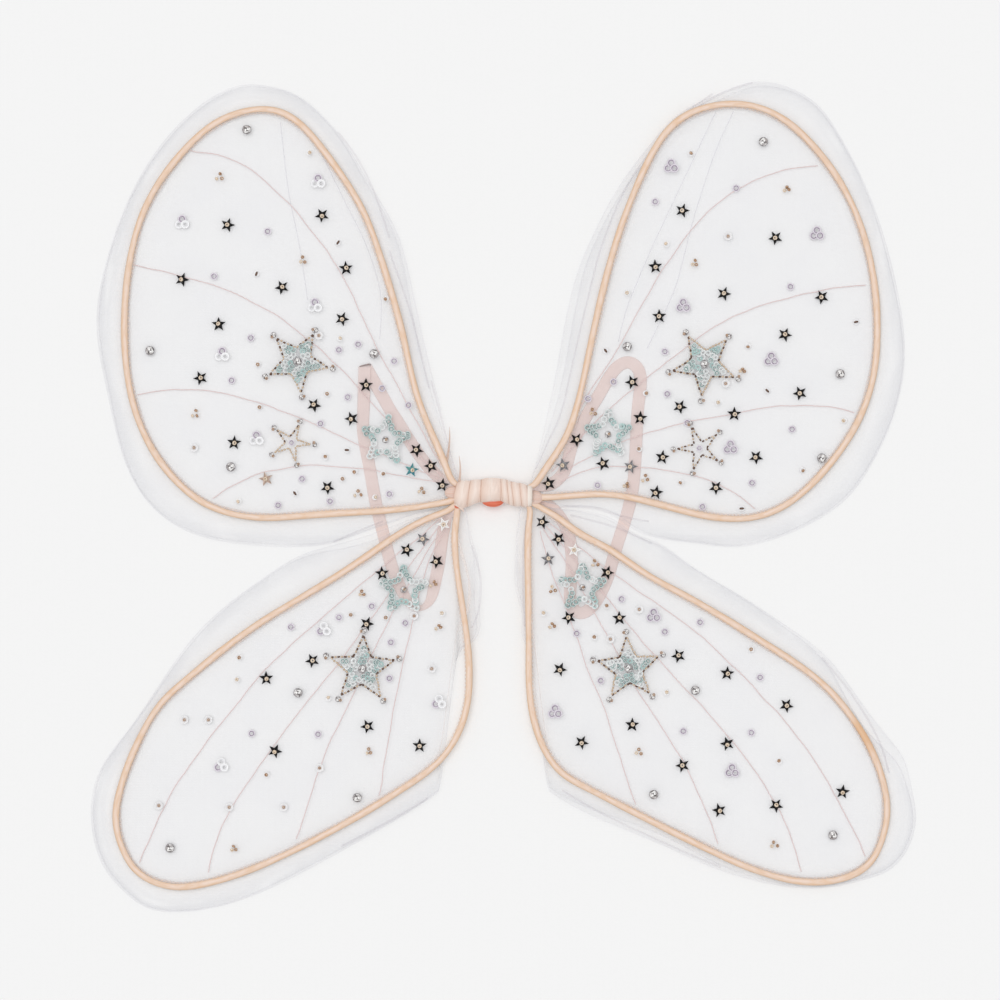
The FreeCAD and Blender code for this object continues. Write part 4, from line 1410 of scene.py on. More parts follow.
@dataclass
class Trims:
    """Everything sewn on one wing."""

    wing: Wing
    base: float = 0.36  # how far the trimmings stand above the cloth, over the stitching
    ring_count: int = 4  # sequins along each side of the small star
    same_place: float = 2.5  # how near a listed star has to be to its node
    group_gap: float = 5.2  # sequins nearer than this to another belong to a group
    group_reach: float = 5.4  # from a group's first sequin to its others
    on_star_gap: float = 1.2  # a bead nearer than this to a star's middle is sewn on it
    bead_gap: float = 3.4  # beads nearer than this to another lie in a group
    rng: np.random.Generator = field(init=False)

    def __post_init__(self) -> None:
        """Starts the wing's own run of random numbers."""
        self.rng = np.random.default_rng(SEED + sum(map(ord, self.wing.name)))

    def solids(self, part: str) -> list[np.ndarray]:
        """Returns the point sets of the separate solids in one of the wing's nodes."""
        return separate(*welded(self.wing.node(part)))

    def middles(self, part: str) -> np.ndarray:
        """Returns the plan middles of the solids in one of the wing's nodes."""
        return np.array([(s.min(0) + s.max(0))[:2] / 2 for s in self.solids(part)])

    def star_frames(self, part: str) -> list[tuple[np.ndarray, float, float]]:
        """Returns the middle, the direction of one tip and the reach of each star-shaped solid."""
        frames = []
        for solid in self.solids(part):
            plan = solid[:, :2]
            top = np.unique(np.round(plan, 2), axis=0)
            middle = top[np.linalg.norm(top - top.mean(0), axis=1) > 0].mean(0)
            reach = np.linalg.norm(plan - middle, axis=1)
            far = plan[reach.argmax()] - middle
            frames.append((middle, math.atan2(far[1], far[0]), float(reach.max())))
        return frames

    def put(
        self,
        prototype: Sequence[Patch],
        plan: np.ndarray,
        height: Union[float, np.ndarray] = 0.0,
        turns: Optional[np.ndarray] = None,
    ) -> list[Patch]:
        """Copies a small piece to plan places on the cloth.

        Args:
            prototype: the piece's patches.
            plan: (n, 2) places.
            height: how far above the trimmings' base each is.
            turns: (n, 3, 3) rotations, or None for random turns about the upright axis.

        Returns:
            The copies.
        """
        plan = np.atleast_2d(plan)
        if turns is None:
            turns = turn_about_z(self.rng.uniform(0, FULL_TURN, len(plan)))
        places = self.wing.place(plan, self.base + np.asarray(height))
        return [patch.copies(turns, places) for patch in prototype]

    def sewn(self, name: str, patches: Sequence[Patch], slot: str, *nodes: str) -> None:
        """Joins patches into one piece that rides on the wing and stands for its nodes."""
        if not patches:
            return
        piece = make_object(self.wing.node(name), patches)
        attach(piece, self.wing.body)
        if nodes:
            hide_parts(*[self.wing.node(node) for node in nodes])

    @staticmethod
    def apart(places: np.ndarray) -> np.ndarray:
        """Returns how far each place is from the nearest other one."""
        gaps = np.linalg.norm(places[:, None] - places[None], axis=2) + np.eye(len(places)) * 99
        return gaps.min(1)

    def stars(self) -> None:
        """Sews on the star sequins, nearly all of them black."""
        patches = []
        for middle, turn, _ in self.star_frames("star_sequins"):
            finish = "black_star"
            for x, y, other in self.wing.odd_stars:
                if np.hypot(*(middle - (x, y))) < self.same_place:
                    finish = other
            tilt = lean(self.rng.uniform(0, 0.05, 1), self.rng.uniform(0, FULL_TURN, 1))
            turns = tilt @ turn_about_z(np.array([turn]))
            patches += self.put(star_sequin(4.7, 2.0, finish), middle, 0.1, turns)
        self.sewn("pressed_stars", patches, "gunmetal_foil", "star_sequins")

    def rings(self) -> None:
        """Sews on the flat sequins: single lilac ones, and groups in the wing's own three finishes."""
        places = self.middles("ring_sequins")
        grouped = self.apart(places) < self.group_gap
        patches = []
        alone = places[~grouped]
        tilts = lean(self.rng.uniform(0, 0.10, len(alone)), self.rng.uniform(0, FULL_TURN, len(alone)))
        patches += self.put([ring_sequin(2.3, "lilac")], alone, 0.12, tilts)
        left = list(np.where(grouped)[0])
        while left:
            cluster = [k for k in left if np.linalg.norm(places[k] - places[left[0]]) < self.group_reach]
            left = [k for k in left if k not in cluster]
            centre = places[cluster].mean(0)
            for order, k in enumerate(cluster):
                outward = places[k] - centre
                plan = centre + outward * 0.86
                finish = self.wing.cluster[order % 3]
                tilt = lean(np.array([0.1]), np.array([math.atan2(outward[1], outward[0]) + math.pi]))
                patches += self.put([ring_sequin(2.7, finish)], plan, 0.12 + 0.22 * order, tilt)
        self.sewn("flat_sequins", patches, "lilac_film", "ring_sequins")

    def cups(self) -> None:
        """Sews on the white cup sequins, each held by a gold bead."""
        places = self.middles("cup_sequins")
        patches = self.put([ring_sequin(2.6, "pearl", cup=0.55, hole=0.25)], places, 0.08)
        patches += self.put([bead(1.0, 1.1, "gold", 10)], places, 0.3)
        self.sewn("pearl_cups", patches, "pearl_film", "cup_sequins")

    def beads(self) -> None:
        """Sews on the seed beads: one on each star, the others singly and in threes."""
        stars = np.array([middle for middle, _, _ in self.star_frames("star_sequins")])
        places = self.middles("seed_beads")
        on_star = np.array([np.linalg.norm(stars - p, axis=1).min() < self.on_star_gap for p in places])
        in_three = (self.apart(places) < self.bead_gap) & ~on_star
        alone = ~on_star & ~in_three
        bugles = alone & (np.arange(len(places)) % 5 == 2)
        patches = []
        count = int(on_star.sum())
        turns = lean(self.rng.uniform(0.2, 0.75, count), self.rng.uniform(0, FULL_TURN, count))
        patches += self.put([bead(1.42, 1.5, "champagne")], places[on_star], 0.55, turns)
        for picked in (in_three, alone & ~bugles):
            count = int(picked.sum())
            if count:
                turns = lean(self.rng.uniform(0.3, 1.3, count), self.rng.uniform(0, FULL_TURN, count))
                mixed = np.arange(count) % 3 == 0
                for part, tone in ((~mixed, "gold"), (mixed, "champagne")):
                    if part.any():
                        shape = [bead(1.22, 1.3, tone, 10)]
                        patches += self.put(shape, places[picked][part], 0.35, turns[part])
        if bugles.any():
            patches += self.put([capsule(2.9, 0.62, 8, "bronze")], places[bugles], 0.62)
        if alone.any():
            patches += self.put([ring_sequin(1.75, "pearl", 0.1, 14)], places[alone], 0.0)
        self.sewn("glass_beads", patches, "champagne_glass_bead", "seed_beads")

    def crystals(self) -> None:
        """Sews on the set crystals."""
        patches = self.put(set_crystal(2.8), self.middles("crystals"), 0.0)
        self.sewn("set_crystals", patches, "crystal", "crystals")

    def star_line(
        self, middle: np.ndarray, turn: float, tip: float, notch: float
    ) -> list[tuple[np.ndarray, np.ndarray]]:
        """Returns the ten sides of a star outline, each as its two end points, tip first."""
        sides = []
        for k in range(STAR_POINTS):
            for way in (-1, 1):
                at_tip = turn + k * FULL_TURN / STAR_POINTS
                at_notch = at_tip + way * math.pi / STAR_POINTS
                sides.append((middle + tip * ray(at_tip), middle + notch * ray(at_notch)))
        return sides

    def bead_sides(
        self, sides: Sequence[tuple], pitch: float, radius: float, dark_share: float
    ) -> list[Patch]:
        """Edges a star with bugle beads end to end, dark bronze and clear gold by turns.

        Args:
            sides: the star's sides.
            pitch: the distance from one bead to the next.
            radius: the beads' radius.
            dark_share: how often a side has dark beads in it.

        Returns:
            The beads.
        """
        found = {"bronze": [], "clear_gold": []}
        for outer, inner in sides:
            length = np.linalg.norm(inner - outer)
            count = max(2, int(round(length / pitch)))
            heading = math.atan2(*(inner - outer)[::-1])
            dark_side = self.rng.random() < dark_share
            for k in range(count):
                where = outer + (inner - outer) * (k + 0.5) / count
                where = where + self.rng.normal(0, 0.12, 2)
                finish = "bronze" if dark_side and k % 2 == 0 else "clear_gold"
                found[finish].append((*where, heading + self.rng.normal(0, 0.08)))
        patches = []
        for finish, rows in found.items():
            if rows:
                rows = np.array(rows)
                length = pitch * (0.86 if finish == "bronze" else 0.8)
                turns = turn_about_z(rows[:, 2])
                patches += self.put([capsule(length, radius, 8, finish)], rows[:, :2], radius, turns)
        return patches

    def scales(self, plan: np.ndarray, towards: np.ndarray, radius: float, white_share: float) -> list[Patch]:
        """Lays overlapping sequins, each leaning on the next, aqua with some white among them."""
        count = len(plan)
        turns = lean(self.rng.uniform(0.28, 0.52, count), towards + self.rng.normal(0, 0.3, count))
        heights = 0.7 + self.rng.uniform(0, 0.6, count)
        draw = self.rng.random(count)
        white, pale = draw < white_share, draw > 1 - 0.3 * (1 - white_share)
        patches = []
        for part, finish in ((~white & ~pale, "aqua"), (pale, "aqua_pale"), (white, "ice")):
            if part.any():
                scale = [ring_sequin(radius, finish, 0.15, 16)]
                patches += self.put(scale, plan[part], heights[part], turns[part])
        return patches

    def tip_ornaments(self, middle: np.ndarray, turn: float, reach: float, size: float) -> list[Patch]:
        """Puts a small set crystal and a gold bead off each tip of a star."""
        angles = turn + np.arange(STAR_POINTS) * FULL_TURN / STAR_POINTS
        rays = np.column_stack([np.cos(angles), np.sin(angles)])
        patches = self.put(set_crystal(size), middle + rays * reach, 0.0)
        beside = middle + rays * (reach - 0.4) + np.column_stack([-rays[:, 1], rays[:, 0]]) * size * 0.9
        return patches + self.put([bead(0.95, 1.0, "gold", 10)], beside, size * 0.7)

    def filled_star(self) -> None:
        """Works the large star: a beaded outline filled with overlapping sequins round a crystal."""
        (middle, turn, reach), = self.star_frames("filled_star")
        tip, notch = reach + 0.7, reach * 0.46
        sides = self.star_line(middle, turn, tip, notch)
        patches = self.bead_sides(sides, 2.1, 0.62, 0.75)
        # each row across an arm: how far out, how far to each side, how many
        rows = ((4.4, 1.3, 2), (6.9, 2.9, 3), (9.0, 1.9, 3), (10.9, 1.1, 2), (12.9, 0.2, 1))
        spots, towards = [], []
        for k in range(STAR_POINTS):
            arm = turn + k * FULL_TURN / STAR_POINTS
            along = ray(arm)
            across = np.array([-along[1], along[0]])
            for out, spread, count in rows:
                for step in np.linspace(-spread, spread, count):
                    spots.append(middle + along * out + across * step + self.rng.normal(0, 0.28, 2))
                    towards.append(arm + math.pi * (k % 2))
        kept = self.rng.random(len(spots)) < 0.8
        patches += self.scales(np.array(spots)[kept], np.array(towards)[kept], 1.85, 0.5)
        patches += self.put(set_crystal(2.4), middle, 1.0)
        patches += self.tip_ornaments(middle, turn, tip + 3.0, 1.75)
        self.sewn("worked_star", patches, "aqua_sequin_work", "filled_star")

    def aqua_star(self) -> None:
        """Works the small star: an outline of overlapping aqua and white sequins round a crystal."""
        (middle, turn, reach), = self.star_frames("aqua_star")
        spots, towards = [], []
        for outer, inner in self.star_line(middle, turn, reach + 0.3, reach * 0.44):
            heading = math.atan2(*(inner - outer)[::-1])
            for k in range(self.ring_count):
                share = (k + 0.3) / self.ring_count
                spots.append(outer + (inner - outer) * share + self.rng.normal(0, 0.3, 2))
                towards.append(heading)
        spots, towards = np.array(spots), np.array(towards)
        white_sides = np.isin(np.arange(len(spots)) // self.ring_count, (1, 4, 7))
        patches = self.scales(spots[~white_sides], towards[~white_sides], 2.05, 0.14)
        patches += self.scales(spots[white_sides], towards[white_sides], 2.05, 0.85)
        patches += self.put(set_crystal(2.0), middle, 0.1)
        patches += self.put([bead(0.9, 1.0, "gold", 10)], middle + (0.6, 0.2), 1.5)
        self.sewn("sequin_star", patches, "aqua_sequin_work", "aqua_star")

    def bead_star(self) -> None:
        """Works the beaded star of an upper wing: a fine outline round one pearl sequin."""
        if self.wing.node("bead_star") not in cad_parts:
            return
        (middle, turn, reach), = self.star_frames("bead_star")
        dark = 0.6 if self.wing.side is Side.LEFT else 0.85
        patches = self.bead_sides(self.star_line(middle, turn, reach, reach * 0.31), 2.0, 0.55, dark)
        patches += self.put([ring_sequin(1.9, "lilac")], middle, 0.1)
        patches += self.tip_ornaments(middle, turn, reach + 2.4, 1.5)
        self.sewn("beaded_star", patches, "bronze_bead_work", "bead_star")

    def vein_lines(self) -> list[np.ndarray]:
        """Returns the middle line of each embroidered vein.

        A vein's node is a narrow flat band. Its outline is rolled so that it starts at the end near
        the root, and the points at equal distances on either side are averaged.
        """
        points, triangles = welded(self.wing.node("vein_embroidery"))
        lines = []
        for solid in separate(points, triangles):
            index = {tuple(p): k for k, p in enumerate(solid)}
            keys = [index.get(tuple(p), -1) for p in points]
            local = np.array(keys)[triangles]
            local = local[(local >= 0).all(1)]
            loop = resample(upper_outline(solid, local), 1.0, closed=True)
            start = np.linalg.norm(loop - self.wing.root, axis=1).argmin()
            loop = np.roll(loop, -start, axis=0)
            half = len(loop) // 2
            lines.append((loop[:half] + loop[::-1][:half]) / 2)
        return lines

    def veins(self) -> None:
        """Embroiders the veins as small overlapping stitches that wander a little."""
        patches = []
        for line in self.vein_lines():
            line = resample(soften(line, 2), 1.9)
            drift = soften(np.cumsum(self.rng.normal(0, 0.17, len(line)))[:, None], 3)[:, 0]
            line = line + normals(line) * (drift - np.linspace(0, drift[-1], len(line)))[:, None]
            heading = np.gradient(line, axis=0)
            angles = np.arctan2(heading[:, 1], heading[:, 0])
            angles += np.where(np.arange(len(line)) % 2, 0.07, -0.07)
            places = self.wing.place(line, 0.2)
            patches.append(capsule(2.5, 0.25, 6, "thread").copies(turn_about_z(angles), places))
        self.sewn("stitched_veins", patches, "pink_thread", "vein_embroidery")

    def make(self) -> None:
        """Sews everything on."""
        self.veins()
        self.stars()
        self.rings()
        self.cups()
        self.beads()
        self.crystals()
        self.filled_star()
        self.aqua_star()
        self.bead_star()


# ---- Bridge and straps ----


@dataclass(frozen=True)
class Turn:
    """One visible turn of the wound ribbon: how wide it is, how much it puffs and how it slants."""

    width: float
    puff: float
    slant: float


@dataclass
class Bridge:
    """The ribbon-wound bridge, its coral lining, its binding and its loose ends."""

    turns: tuple = (
        Turn(8.8, 0.7, 1.6), Turn(7.3, 0.6, 1.1), Turn(12.7, 1.1, 0.3), Turn(4.0, 0.5, -0.5),
        Turn(2.8, 0.35, -0.8), Turn(5.0, 0.55, -1.0), Turn(4.4, 0.45, -0.7),
    )
    collar_mm: float = 2.3  # how much of the cotton binding shows at the right end
    step: float = 0.3  # how far one turn's edge stands above the next turn
    base: float = 0.05
    around: int = 112  # points round the ribbon
    girth: float = 45.0  # the length of one turn of it
    middle_height: float = 6.25

    def outline(self, x: np.ndarray) -> tuple[np.ndarray, np.ndarray, np.ndarray]:
        """Returns the bridge's middle and half-sizes along its length.

        The bridge arches slightly: its top edge rises to the middle and its lower edge is hollow.

        Args:
            x: places along the bridge.

        Returns:
            The middle in Y, the half-width in Y and the half-height in Z.
        """
        top = np.interp(
            x, (-26, -21.4, -16.5, -8.9, -4.9, 3.1, 7.6, 11.2, 16.5, 20.1, 24),
            (6.0, 8.3, 8.5, 9.3, 9.7, 9.8, 9.1, 7.7, 7.1, 5.8, 5.0),
        )
        low = np.interp(
            x, (-26, -22, -19.6, -16.5, -12.1, -7.1, -3, 2, 5.4, 8.5, 11.2, 19.2, 24),
            (-5.4, -8.6, -9.2, -7.8, -6.0, -5.0, -4.7, -4.7, -5.1, -6.8, -7.7, -8.2, -7.6),
        )
        half_height = np.interp(x, (-26, -18, 0, 16, 24), (5.2, 5.9, 6.2, 5.7, 4.9))
        return (top + low) / 2, (top - low) / 2, half_height

    def ribbon(self) -> Patch:
        """Winds the ribbon.

        Each turn is a rounded band that stands proud of the next one, with fine creases along the
        winding that open and close round the bar.

        Returns:
            The surface; its UV's second value is the share across the turn.
        """
        rng = np.random.default_rng(SEED)
        low, high = bridge_ends()
        total = sum(turn.width for turn in self.turns)
        scale = (high - self.collar_mm - low + 0.8) / total
        edges = low - 0.8 + scale * np.cumsum([0] + [turn.width for turn in self.turns])
        angle = np.arange(self.around) * FULL_TURN / self.around
        rows, shares = [], []
        for number, turn in enumerate(self.turns):
            count = max(7, int(turn.width * scale / 0.26))
            t = np.linspace(0, 1, count)
            x = edges[number] + t * (edges[number + 1] - edges[number])
            x = x[:, None] + turn.slant * np.cos(angle)[None] * 0.9
            x = np.clip(x, low - 0.8, high + 0.8)
            middle, half_width, half_height = self.outline(x)
            phase = rng.uniform(0, FULL_TURN, 6)
            crease = np.zeros_like(x)
            for k in range(max(2, int(turn.width / 2.4))):
                where = rng.uniform(0.1, 0.9) + 0.12 * np.sin(angle * (1 + k % 2) + phase[k % 5])
                depth = rng.uniform(0.15, 0.5) * np.clip(np.sin(angle * 2 + rng.uniform(0, FULL_TURN)), 0, 1)
                breadth = rng.uniform(0.12, 0.7)
                crease -= depth * np.exp(-(((t[:, None] - where) * turn.width) ** 2) / breadth)
            puff = turn.puff * (1 - np.abs(2 * t - 1) ** 2.6)[:, None]
            ripple = 0.16 * np.sin(angle * 3 + phase[5])[None] * (1 - np.abs(2 * t - 1))[:, None]
            out = puff - 0.6 + crease + ripple + self.step * (1 - t)[:, None]
            y = middle + (half_width + 0.7 * out) * np.cos(angle)[None]
            z = self.middle_height + (half_height + out) * np.sin(angle)[None]
            rows.append(np.stack([x, y, np.maximum(z, self.base)], axis=2))
            shares.append(t)
        uv = wound_uv(self.girth, self.around, np.concatenate(shares))
        return grid(np.concatenate(rows), uv, "ribbon", round_across=True)

    def tucked_end(self, ribbon: Patch, first: bool) -> Patch:
        """Turns the ribbon's end edge inwards, gathered into small folds."""
        around = self.around
        rim = ribbon.points[:around] if first else ribbon.points[-around:]
        angle = np.arange(around) * FULL_TURN / around
        centre = rim.mean(0)
        inward = 1.0 if first else -1.0
        rows = []
        for share in (0.0, 0.25, 0.5, 0.75, 0.95):
            ring = rim + (centre - rim) * share
            folds = 0.3 * np.sin(angle * 14) * share * (1 - share) * 3
            ring = ring + np.array([1.0, 0, 0]) * (inward * (1.3 * share + folds))[:, None]
            rows.append(ring)
        uv = wound_uv(self.girth, around, np.linspace(0, 1, len(rows)))
        return grid(np.array(rows), uv, "ribbon", round_across=True)

    def bulge(self, middle: Sequence[float], size: Sequence[float], finish: str, folds: int = 5) -> Patch:
        """Makes a soft rounded lump with folds along X, for cloth that peeps out or is gathered."""
        across = np.linspace(0.02, 0.98, 22) * math.pi
        angle = np.arange(40) * FULL_TURN / 40
        fold = 1 + 0.09 * np.sin(folds * angle[None] + 0.5 * np.cos(across)[:, None])
        points = np.stack(
            [
                (middle[0] - size[0] * np.cos(across))[:, None] + 0 * angle[None],
                middle[1] + size[1] * np.sin(across)[:, None] * np.cos(angle)[None] * fold,
                middle[2] + size[2] * np.sin(across)[:, None] * np.sin(angle)[None] * fold,
            ],
            axis=2,
        )
        uv = np.zeros((22, 41, 2))
        uv[:, :, 0] = np.linspace(0, 2 * size[0], 22)[:, None]
        uv[:, :, 1] = (np.arange(41) * folds / 40 % 1.0)[None]
        return grid(points, uv, finish, round_across=True)

    def binding(self) -> Patch:
        """Makes the cotton tape that binds the wire ends, and shows as a pale band at the right end."""
        low, high = bridge_ends()
        start = high - self.collar_mm
        inside, shown = np.linspace(low + 0.5, start - 1.0, 40), np.linspace(start - 0.8, high + 0.6, 18)
        x = np.concatenate([inside, shown])
        angle = np.arange(64) * FULL_TURN / 64
        middle, half_width, half_height = self.outline(x)
        collar = smoothstep((x - start + 0.8) / 0.8) * (1 - 0.6 * smoothstep((x - high) / 0.6))
        wide = 3.9 + (half_width - 3.9 - 0.25) * collar
        tall = 3.4 + (half_height - 3.4 - 0.1) * collar
        ripple = 0.12 * np.sin(x * 2.4)
        points = np.stack(
            [
                x[:, None] + 0 * angle[None],
                (middle * collar)[:, None] + (wide + ripple)[:, None] * np.cos(angle)[None],
                self.middle_height + (tall + ripple)[:, None] * np.sin(angle)[None],
            ],
            axis=2,
        )
        points[:, :, 2] = np.maximum(points[:, :, 2], 0.15)
        uv = wound_uv(30, len(angle), (x - x[0]) / (x[-1] - x[0]))
        return grid(points, uv, "binding", round_across=True)

    def sliver(
        self, foot: Sequence[float], tip: Sequence[float], width: float, finish: str = "fray"
    ) -> Patch:
        """Makes a narrow pointed scrap of cloth that stands out of the gathers."""
        foot, tip = np.array(foot, float), np.array(tip, float)
        t = np.linspace(0, 1, 12)
        line = foot + (tip - foot) * t[:, None]
        line[:, 0] += 0.7 * np.sin(t * math.pi)
        half = width / 2 * (1 - t) ** 0.8 + 0.08
        rows = [line + np.array([1.0, 0, 0.25 * share]) * (half * share)[:, None] for share in (-1, 0, 1)]
        return grid(np.stack(rows, axis=1), strip_uv(t * 20, (0, 0.5, 1)), finish)

    def make(self) -> None:
        """Makes the bridge's pieces and puts the wire's finish on the ends inside it."""
        ribbon = self.ribbon()
        wound = make_object(
            "wound_ribbon", [ribbon, self.tucked_end(ribbon, True), self.tucked_end(ribbon, False)]
        )
        lining = make_object(
            "coral_peeping_lining",
            [
                self.bulge((-1.4, -4.3, 5.4), (6.9, 3.7, 3.2), "coral", 3),
                self.bulge((-23.4, -7.4, 5.6), (2.0, 1.6, 2.0), "coral", 3),
                self.bulge((24.6, -4.6, 5.2), (2.0, 1.5, 1.6), "coral", 3),
                self.bulge((-25.8, 0.9, 4.6), (5.6, 3.9, 2.9), "gather", 11),
                self.bulge((24.6, -2.4, 4.6), (5.2, 4.4, 2.8), "gather", 11),
            ],
        )
        tape = make_object("cotton_binding", [self.binding()])
        scraps = make_object(
            "organza_scraps",
            [
                self.sliver((-30.2, 20.0, 4.6), (-28.3, 42.0, 5.2), 1.7),
                self.sliver((-22.3, 7.5, 8.0), (-22.4, 24.0, 6.6), 1.5),
                self.sliver((-24.4, -6.4, 8.6), (-19.4, -11.2, 5.4), 3.6, "ribbon"),
            ],
        )
        for piece, slot in ((wound, "nude_satin"), (lining, "coral_satin"), (tape, "binding_tape")):
            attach(piece, "bridge")
        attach(scraps, "bridge")
        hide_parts("bridge_ribbon")
        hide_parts("coral_lining")
        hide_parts("binding_tape")
        finish_node("wire_ends", "wire")


def finish_node(node: str, finish: str) -> None:
    """Puts a finish on a design node that stays in sight or inside another piece."""
    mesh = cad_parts[node].data
    mesh.materials.clear()
    mesh.materials.append(palette[finish])


@dataclass(frozen=True)
class FlatFold:
    """Where an elastic is folded flat back on itself: the crease and where the straight runs start."""

    rising: tuple
    crease: tuple
    falling: tuple


@dataclass
class Strap:
    """One elastic arm loop: a flat band whose both ends are caught in the bridge."""

    side: Side
    fold: Optional[FlatFold] = None
    pinch: float = 0.0  # how much of its width it loses where it bunches up round its lowest bend
    width: float = 7.7
    thickness: float = 0.8
    bridge_height: float = 5.4  # the middle's height where it enters the bridge
    rise_mm: float = 11.0  # the run over which it sinks from there to the floor
    gathered_share: float = 0.55  # how much of its width it loses in the bridge
    gathered_mm: float = 17.0  # the run over which it widens from there
    bend_reach: float = 9.0  # how far the bunching spreads from the lowest bend
    lean_start: float = 14.0  # the folded end lies on the other as far as this from the crease
    lean_mm: float = 20.0  # and sinks to the floor over this run

    @property
    def node(self) -> str:
        """The design's node for this strap."""
        return f"{self.side.name.lower()}_shoulder_strap"

    @property
    def end(self) -> float:
        """Where the bridge ends on this side."""
        low, high = bridge_ends()
        return low if self.side is Side.LEFT else high

    def middle_line(self) -> np.ndarray:
        """Returns the band's middle line in plan.

        The node's outline is cut at the two ends by the bridge; the longer side that is left is the
        outer edge, and half the width inside it is the middle.
        """
        outline = resample(upper_outline(*welded(self.node)), 1.0, closed=True)
        clear = np.abs(outline[:, 0] - self.end) > 1.25
        start = np.where(~clear)[0][0]
        outline, clear = np.roll(outline, -start, axis=0), np.roll(clear, -start)
        runs = np.split(np.arange(len(outline)), np.where(np.diff(clear.astype(int)) != 0)[0] + 1)
        longest = max((run for run in runs if clear[run[0]]), key=len)
        edge = outline[longest]
        side = normals(soften(edge, 6))
        side *= np.sign(((outline.mean(0) - edge) * side).sum(1).mean())
        line = soften(edge + side * self.width / 2, 8)
        line = line if line[0, 1] > line[-1, 1] else line[::-1]
        inner = self.end - self.side.value * 2.0
        return np.vstack([(inner, line[0, 1] * 0.6), line, (inner, line[-1, 1] * 0.6)])

    def runs(self) -> list[np.ndarray]:
        """Returns the band's middle line as one run, or as two where it is folded flat."""
        line = self.middle_line()
        if not self.fold:
            return [resample(soften(line, 2), 2.0)]
        top = line[:, 1].argmax()
        index = np.arange(len(line))
        before = line[(index < top) & (line[:, 1] < self.fold.rising[1] - 6)]
        after = line[(index > top) & ((line[:, 1] < self.fold.falling[1] - 6))]
        rising = np.vstack([before, self.fold.rising, self.fold.crease])
        falling = np.vstack([self.fold.crease, self.fold.falling, after])
        return [soften(resample(run, 2.0), 3) for run in (rising, falling)]

    def section(self, run: np.ndarray, height: np.ndarray, narrow: np.ndarray, turned: bool) -> np.ndarray:
        """Sweeps the band's flat section with rounded selvedges along a run.

        Args:
            run: the middle line in plan.
            height: the middle's height at each point.
            narrow: the share of its width that the band keeps at each point.
            turned: whether the band's other face is up.

        Returns:
            (n, 16, 3) points.
        """
        across = np.array([-1, -0.96, -0.8, -0.4, 0, 0.4, 0.8, 0.96, 1, 0.96, 0.8, 0.4, 0, -0.4, -0.8, -0.96])
        level = np.array([0, 0.7, 1, 1, 1, 1, 1, 0.7, 0, -0.7, -1, -1, -1, -1, -1, -0.7])
        half = normals(run) * self.width / 2 * narrow[:, None]
        if turned:
            half = -half
        points = np.zeros((len(run), len(across), 3))
        points[:, :, :2] = run[:, None] + half[:, None] * across[None, :, None]
        thick = self.thickness * 0.4 * (1 + 1.2 * (1 - narrow))
        ripple = 0.12 * np.sin(travelled(run) / 6.0)[:, None] * np.abs(across)[None]
        bunch = 0.5 * (1 - narrow)[:, None] * np.sin(4 * across)[None]
        points[:, :, 2] = height[:, None] + level[None] * thick[:, None] + ripple + bunch
        return points

    def crease_ends(self, rising: np.ndarray, falling: np.ndarray) -> np.ndarray:
        """Returns half of the crease.

        It bisects the two runs, and is as long as the band is wide across it.
        """
        into = rising[-1] - rising[-4]
        out = falling[3] - falling[0]
        into, out = into / np.linalg.norm(into), out / np.linalg.norm(out)
        fold = out - into
        crease = np.array([-fold[1], fold[0]]) / np.linalg.norm(fold)
        side = np.array([-into[1], into[0]])
        return crease * self.width / 2 / (crease @ side)

    def band(self) -> list[Patch]:
        """Makes the band, and the painted shade along the crease of its fold if it has one."""
        runs = self.runs()
        base = self.thickness * 0.4 + 0.06
        parts = []
        for number, run in enumerate(runs):
            from_start, from_end = travelled(run), travelled(run[::-1])[::-1]
            root = from_start if number == 0 else from_end
            if len(runs) == 1:
                root = np.minimum(from_start, from_end)
            height = base + (self.bridge_height - base) * (1 - smoothstep(root / self.rise_mm))
            if number == 1:
                lying_on = 1 - smoothstep((from_start - self.lean_start) / self.lean_mm)
                height = height + self.thickness * 0.95 * lying_on
            lowest = run[run[:, 1].argmin()]
            away = np.linalg.norm(run - lowest, axis=1)
            has_bend = number == len(runs) - 1
            narrow = 1 - self.pinch * has_bend * np.exp(-((away / self.bend_reach) ** 2))
            narrow = narrow * (1 - self.gathered_share * (1 - smoothstep(root / self.gathered_mm)))
            parts.append(self.section(run, height, narrow, turned=number == 1))
        # the list below holds the dark bar of painted shade along the fold's crease
        threads = []
        if len(parts) == 2:
            half = self.crease_ends(*runs)
            across = (parts[0][-1, :, :2] - runs[0][-1]) @ half / (half @ half)
            crease = parts[0][-1].copy()
            steps = np.linspace(-1, 1, 9)[[0, 0, 1, 2, 4, 6, 7, 8, 8, 8, 7, 6, 4, 2, 1, 0]]
            crease[:, :2] = np.array(self.fold.crease) + half * np.sign(across[8]) * steps[:, None]
            crease[:, 2] = base + self.thickness * 0.45
            parts = [parts[0][:-1], crease[None], parts[1][1:]]
            heading = math.atan2(half[1], half[0])
            # painted shade in the fold's crease
            bar = capsule(self.width * 0.9, 0.34, 6, "elastic_crease_shade")
            spot = np.array([[*self.fold.crease, base + self.thickness * 0.7]])
            threads = [bar.copies(turn_about_z(np.array([heading])), spot)]
        points = np.concatenate(parts)
        points[:, :, 2] = np.maximum(points[:, :, 2], 0.03)
        along = travelled(points.mean(1)[:, :2])
        share = np.array([0, 0.02, 0.1, 0.3, 0.5, 0.7, 0.9, 0.98, 1, 0.98, 0.9, 0.7, 0.5, 0.3, 0.1, 0.02, 0])
        return [grid(points, strip_uv(along, share), "elastic", round_across=True)] + threads

    def make(self) -> None:
        """Makes the band and hides the design's strap."""
        piece = make_object(f"{self.side.name.lower()}_elastic_loop", self.band())
        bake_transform(piece)
        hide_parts(self.node)


# ---- Stage ----


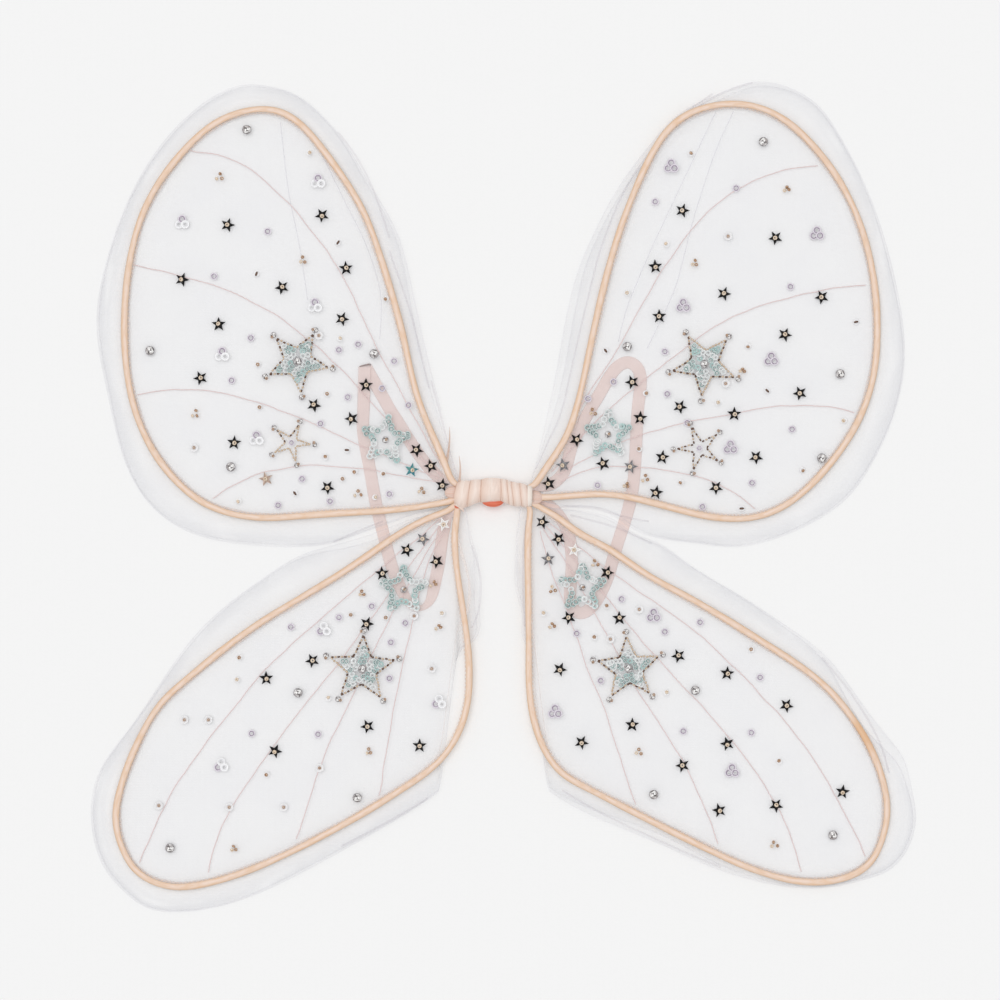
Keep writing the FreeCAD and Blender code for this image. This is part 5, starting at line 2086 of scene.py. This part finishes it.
@dataclass(frozen=True)
class Stage:
    """The pale floor, the soft light and the camera, which looks straight down."""

    floor_size: float = 16.0
    centre: tuple = (3.1 * MM, -3.7 * MM)
    view_width: float = 0.625
    camera_height: float = 2.6
    sensor: float = 0.036
    sky_strength: float = 0.6
    sun_energy: float = 1.2
    sun_softness: float = 55.0  # the width of the light as the wings see it, in degrees
    sun_tilt: tuple = (-7.0, -8.0, 0.0)  # degrees

    def floor(self) -> None:
        """Lays the floor just under the wings."""
        half = self.floor_size / 2 / MM
        corners = np.array([[[x, y, 0.0] for y in (-half, half)] for x in (-half, half)])
        uv = np.array([[[0, 0], [0, 2 * half]], [[2 * half, 0], [2 * half, 2 * half]]], float)
        make_object("floor", [grid(corners, uv, "floor")])

    def lights(self) -> None:
        """Sets an even pale sky and one broad soft light from overhead, a little to the upper left."""
        world = bpy.data.worlds.new("PaleStudio")
        world.use_nodes = True
        sky = world.node_tree.nodes["Background"]
        sky.inputs["Color"].default_value = linear("FFFFFF")
        sky.inputs["Strength"].default_value = self.sky_strength
        bpy.context.scene.world = world
        sun = bpy.data.lights.new("SoftKey", "SUN")
        sun.energy = self.sun_energy
        sun.angle = math.radians(self.sun_softness)
        lamp = bpy.data.objects.new("SoftKey", sun)
        lamp.rotation_euler = tuple(math.radians(angle) for angle in self.sun_tilt)
        bpy.context.scene.collection.objects.link(lamp)

    def camera(self) -> None:
        """Hangs a long-lens camera over the middle."""
        data = bpy.data.cameras.new("Overhead")
        data.sensor_width = self.sensor * 1000
        data.lens = self.sensor * 1000 * self.camera_height / self.view_width
        data.clip_end = 20
        camera = bpy.data.objects.new("Overhead", data)
        camera.location = (*self.centre, self.camera_height)
        bpy.context.scene.collection.objects.link(camera)
        bpy.context.scene.camera = camera

    def make(self) -> None:
        """Sets the stage."""
        self.floor()
        self.lights()
        self.camera()
        bpy.context.scene.view_settings.view_transform = "Standard"


def main() -> None:
    """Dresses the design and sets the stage."""
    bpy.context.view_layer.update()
    Stage().make()
    for wing in wings():
        Casing(wing).make()
        Panel(wing).make()
        Trims(wing).make()
        wire = travelled(wing.spine)[-1]
        log.info("%s: outline %d points, wire %.0f mm", wing.name, len(wing.outline), wire)
    Bridge().make()
    left_fold = FlatFold(rising=(-65.0, 51.5), crease=(-81.4, 80.6), falling=(-82.3, 50.0))
    Strap(Side.LEFT, left_fold, pinch=0.55).make()
    Strap(Side.RIGHT).make()


if __name__ == "__main__":
    logging.basicConfig(level=logging.INFO)
    main()
